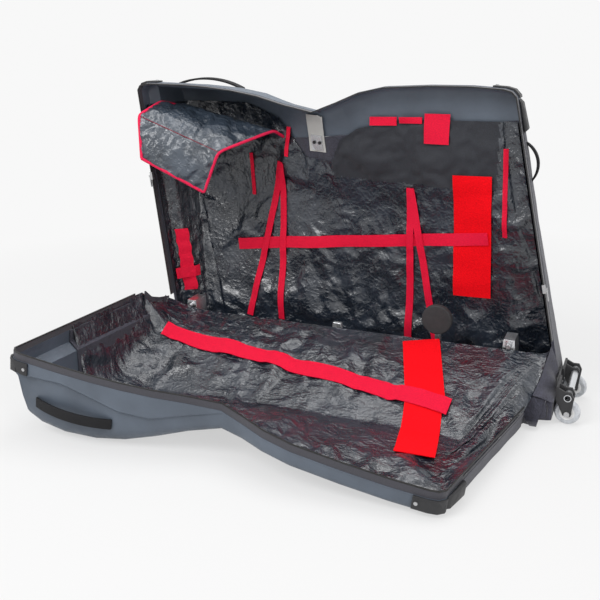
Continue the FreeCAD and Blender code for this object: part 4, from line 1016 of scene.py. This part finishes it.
def ruled(first, second, outward, pleat):
    """Cloth between two lines of points, with soft pleats across it."""
    vertices = []
    for i, (top, foot) in enumerate(zip(first, second)):
        for down in np.linspace(0, 1, GUSSET_LEVELS):
            swell = math.sin(math.pi * down) * (pleat * math.sin(i * 0.8 + down * 4) + pleat * 0.7)
            vertices.append(top.lerp(foot, down) + outward * swell)
    return vertices, grid_faces(len(first), GUSSET_LEVELS)


def end_fan(name, x, hinge, near):
    """Narrow cloth at one end, fanned out about the hinge from the base to the lid."""
    centre = place(x, *hinge)
    first, last = place(x, *FAN_BASE) - centre, place(x, *FAN_LID) - centre
    radial = first.normalized()
    across = Vector((0, radial.z, -radial.y)) * FAN_HALF
    vertices = []
    for share in np.linspace(0, 1, FAN_PLEATS):
        reach = first.length + (last.length - first.length) * share
        for along in np.linspace(near, reach, GUSSET_LEVELS):
            vertices.append(centre + radial * along + across * (2 * share - 1))
    obj = new_object(name, vertices, grid_faces(FAN_PLEATS, GUSSET_LEVELS), TEXTILE)
    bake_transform(obj)
    return obj


def end_skirt(edge, foot_x, outward):
    """Cloth at one end that stands on the base's edge."""
    spots = np.linspace(ZIP_START, TRAY_FRONT - 0.02, END_SPOTS)
    foot = [place(foot_x, y, TRAY_TOP) for y in spots]
    top = []
    for point in [edge_at(edge, y) for y in spots]:
        height = max(TRAY_TOP + SKIRT_LOW, point.z - SKIRT_LOW)
        top.append(Vector((point.x + outward.x * UNDER_ZIP, point.y, height)))
    return ruled(top, foot, outward, pleat=0.004)


def lid_apron():
    """Cloth on the handlebar end of the lid, behind the skirt, that closes the end when the lid is shut."""
    spots = np.linspace(APRON_BACK, APRON_FRONT, END_SPOTS)
    top = [place(APRON_X, y, edge_at(LEFT_EDGE, y).z - UNDER_ZIP) for y in spots]
    low = [place(APRON_X + 0.002, y, APRON_FOOT) for y in spots]
    return ruled(top, low, TO_LEFT, pleat=0.002)


def front_cloth():
    """The front gusset, folded down between the base and the open lid, with a hem under the lid's edge."""
    tray_tree, lid_tree = surface_of(nodes["base_tray"]), surface_of(nodes["lid_wall"])
    start_x, width = FRONT_GUSSET[0], FRONT_GUSSET[1] - FRONT_GUSSET[0]
    vertices = []
    for along in np.linspace(0, 1, GUSSET_COLUMNS):
        for share in np.linspace(0, 1, GUSSET_ROWS):
            x = start_x - GUSSET_LEAN * share + along * (width - GUSSET_NARROWING * share)
            z = GUSSET_HIGH + (GUSSET_FOOT - GUSSET_HIGH) * share
            origin = place(x, IN_FRONT, min(z, TRAY_PROBE))
            front = hit(tray_tree, origin, TO_BACK, place(x, TRAY_FRONT, z)).y - HOME.y
            vertices.append(place(x, front - GUSSET_CLEAR - GUSSET_TUCK * share ** 2, z))
        start = vertices[-1]
        for step in range(1, HEM_ROWS + 1):
            y = start.y + (HOME.y + HEM_FRONT - start.y) * step / HEM_ROWS
            under = hit(lid_tree, Vector((start.x, y, BELOW)), UP)
            z = start.z if under is None else max(HEM_LOWEST, under.z - GUSSET_CLEAR)
            vertices.append(Vector((start.x, y, z)))
    return vertices, grid_faces(GUSSET_COLUMNS, GUSSET_ROWS + HEM_ROWS)


POCKET = (1.185, 1.272, 0.014, 0.064)
POCKET_RISE, POCKET_LIFT = 0.004, 0.0012
POCKET_RINGS, POCKET_TURNS = 8, 40
POCKET_CORNER = 0.45


def boxy(value):
    """A circle's coordinate pushed out towards a square with round corners."""
    return math.copysign(abs(value) ** POCKET_CORNER, value)


def tray_pocket():
    """Stitched pocket panel on the front of the base at the wheel end, with piping round it."""
    tree = surface_of(nodes["base_tray"])
    low_x, high_x, low_z, high_z = POCKET
    vertices = []
    for ring in range(POCKET_RINGS + 1):
        share = ring / POCKET_RINGS
        for turn in range(POCKET_TURNS):
            angle = 2 * math.pi * turn / POCKET_TURNS
            x = (low_x + high_x) / 2 + boxy(math.cos(angle)) * share * (high_x - low_x) / 2
            z = (low_z + high_z) / 2 + boxy(math.sin(angle)) * share * (high_z - low_z) / 2
            rise = POCKET_LIFT + POCKET_RISE * (1 - share ** 3)
            found = hit(tree, place(x, IN_FRONT, z), TO_BACK, place(x, TRAY_FRONT, z))
            vertices.append(found + TO_FRONT * rise)
    border = vertices[-POCKET_TURNS:]
    panel = new_object("tray_pocket_panel", vertices, ring_faces(POCKET_RINGS + 1, POCKET_TURNS), TEXTILE)
    piping = new_object("tray_pocket_piping", *tube(border + border[:1], 0.0016, 0.005, 6), SILL_CLOTH)
    for piece in (panel, piping):
        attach(piece, "case")


tray_pocket()
gussets = new_object("soft_gusset_front", *front_cloth(), TEXTILE)
left_fan = end_fan("soft_gusset_left_end", FRONT_GUSSET[0], LEFT_HINGE, near=0.012)
right_fan = end_fan("soft_gusset_right_end", FRONT_GUSSET[1], RIGHT_HINGE, near=0.060)
apron = new_object("soft_gusset_apron", *lid_apron(), TEXTILE)
end_skirts = [end_skirt(LEFT_EDGE, 0.092, TO_LEFT), end_skirt(RIGHT_EDGE, 1.287, TO_RIGHT)]
skirts = new_object("soft_gusset_skirts", *join_parts(end_skirts), TEXTILE)
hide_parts("soft_gussets")
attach(skirts, "case")
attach(apron, "lid")
for cloth in (lid_cloth, lid_strap, lid_band):
    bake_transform(cloth)
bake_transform(gussets)


# Camera, light and stage

FOCAL_SHARE = 1.4703
PRINCIPAL_SHARE = (0.4541, 0.4265)
YAW, PITCH, ROLL = 0.4220, 0.2678, -0.0187
CAMERA_PLACE = (1.4876, -2.3197, 1.0452)
PAPER = (0.938, 0.938, 0.938, 1)
FLOOR_HALF = 30
WORLD_STRENGTH = 0.55
# Distance from the middle of the floor, and the share of plain paper seen there
FLOOR_FADE = {"From Min": 0.9, "From Max": 2.3, "To Min": 0.62, "To Max": 1.0}


def add_camera():
    """Camera at the photograph's place, fitted to the case's corners."""
    data = bpy.data.cameras.new("camera")
    data.sensor_fit = "HORIZONTAL"
    data.sensor_width = 36
    data.lens = data.sensor_width * FOCAL_SHARE
    data.shift_x = 0.5 - PRINCIPAL_SHARE[0]
    data.shift_y = PRINCIPAL_SHARE[1] - 0.5
    data.clip_end = 100
    obj = bpy.data.objects.new("camera", data)
    turn = Matrix.Rotation(YAW, 4, "Z") @ Matrix.Rotation(math.pi / 2 - PITCH, 4, "X")
    obj.matrix_world = Matrix.Translation(place(*CAMERA_PLACE)) @ turn @ Matrix.Rotation(ROLL, 4, "Z")
    scene.collection.objects.link(obj)
    scene.camera = obj


def soft_light(name, location, target, size, power):
    """A large soft lamp aimed at a point."""
    data = bpy.data.lights.new(name, "AREA")
    data.shape = "DISK"
    data.size = size
    data.energy = power
    obj = bpy.data.objects.new(name, data)
    obj.location = location
    obj.rotation_euler = (Vector(target) - Vector(location)).to_track_quat("-Z", "Y").to_euler()
    scene.collection.objects.link(obj)


def seen_rays(tree):
    """One for what the camera sees straight, in a reflection or through glass, and zero for light."""
    path = tree.nodes.new("ShaderNodeLightPath")
    total = path.outputs["Is Camera Ray"]
    for ray in ("Is Glossy Ray", "Is Transmission Ray"):
        larger = tree.nodes.new("ShaderNodeMath")
        larger.operation = "MAXIMUM"
        tree.links.new(total, larger.inputs[0])
        tree.links.new(path.outputs[ray], larger.inputs[1])
        total = larger.outputs["Value"]
    return total


def mix_by(tree, factor, first, second, output):
    """Mixes two shaders by a factor into an output."""
    mix = tree.nodes.new("ShaderNodeMixShader")
    tree.links.new(factor, mix.inputs["Fac"])
    tree.links.new(first, mix.inputs[1])
    tree.links.new(second, mix.inputs[2])
    tree.links.new(mix.outputs["Shader"], output)


def add_floor():
    """A pale floor that keeps the shadow."""
    material, bsdf = shader("floor_paper", (0.68, 0.68, 0.68), roughness=0.9)
    tree = material.node_tree
    set_inputs(bsdf, {"Specular IOR Level": 0.1})
    glow = tree.nodes.new("ShaderNodeEmission")
    set_inputs(glow, {"Color": PAPER})
    coordinates = tree.nodes.new("ShaderNodeTexCoord")
    distance = tree.nodes.new("ShaderNodeVectorMath")
    distance.operation = "LENGTH"
    fade = tree.nodes.new("ShaderNodeMapRange")
    set_inputs(fade, FLOOR_FADE)
    share = tree.nodes.new("ShaderNodeMath")
    share.operation = "MULTIPLY"
    tree.links.new(coordinates.outputs["Object"], distance.inputs[0])
    tree.links.new(distance.outputs["Value"], fade.inputs["Value"])
    tree.links.new(seen_rays(tree), share.inputs[0])
    tree.links.new(fade.outputs["Result"], share.inputs[1])
    output = tree.nodes["Material Output"].inputs["Surface"]
    mix_by(tree, share.outputs["Value"], bsdf.outputs["BSDF"], glow.outputs["Emission"], output)
    corners = [(x * FLOOR_HALF, y * FLOOR_HALF, 0) for x, y in ((-1, -1), (1, -1), (1, 1), (-1, 1))]
    new_object("floor", corners, [(0, 1, 2, 3)], material, smooth=False)


def add_world():
    """An even pale surround that lights the case softly."""
    world = bpy.data.worlds.new("studio")
    scene.world = world
    world.use_nodes = True
    tree = world.node_tree
    light = tree.nodes["Background"]
    set_inputs(light, {"Color": (1, 1, 1, 1), "Strength": WORLD_STRENGTH})
    seen = tree.nodes.new("ShaderNodeBackground")
    set_inputs(seen, {"Color": PAPER, "Strength": 1.0})
    output = tree.nodes["World Output"].inputs["Surface"]
    mix_by(tree, seen_rays(tree), light.outputs["Background"], seen.outputs["Background"], output)


add_camera()
soft_light("key", (-1.6, -2.6, 3.2), (0, 0, 0.3), 2.2, 95)
soft_light("fill", (3.0, -2.0, 2.2), (0.1, 0, 0.3), 2.4, 45)
soft_light("top", (0.2, 0.6, 3.4), (0, 0, 0.2), 2.6, 55)
add_floor()
add_world()
scene.view_settings.view_transform = "Standard"


def corners(bounds):
    """Plain lists of a box's corners."""
    return [[float(value) for value in corner] for corner in bounds]
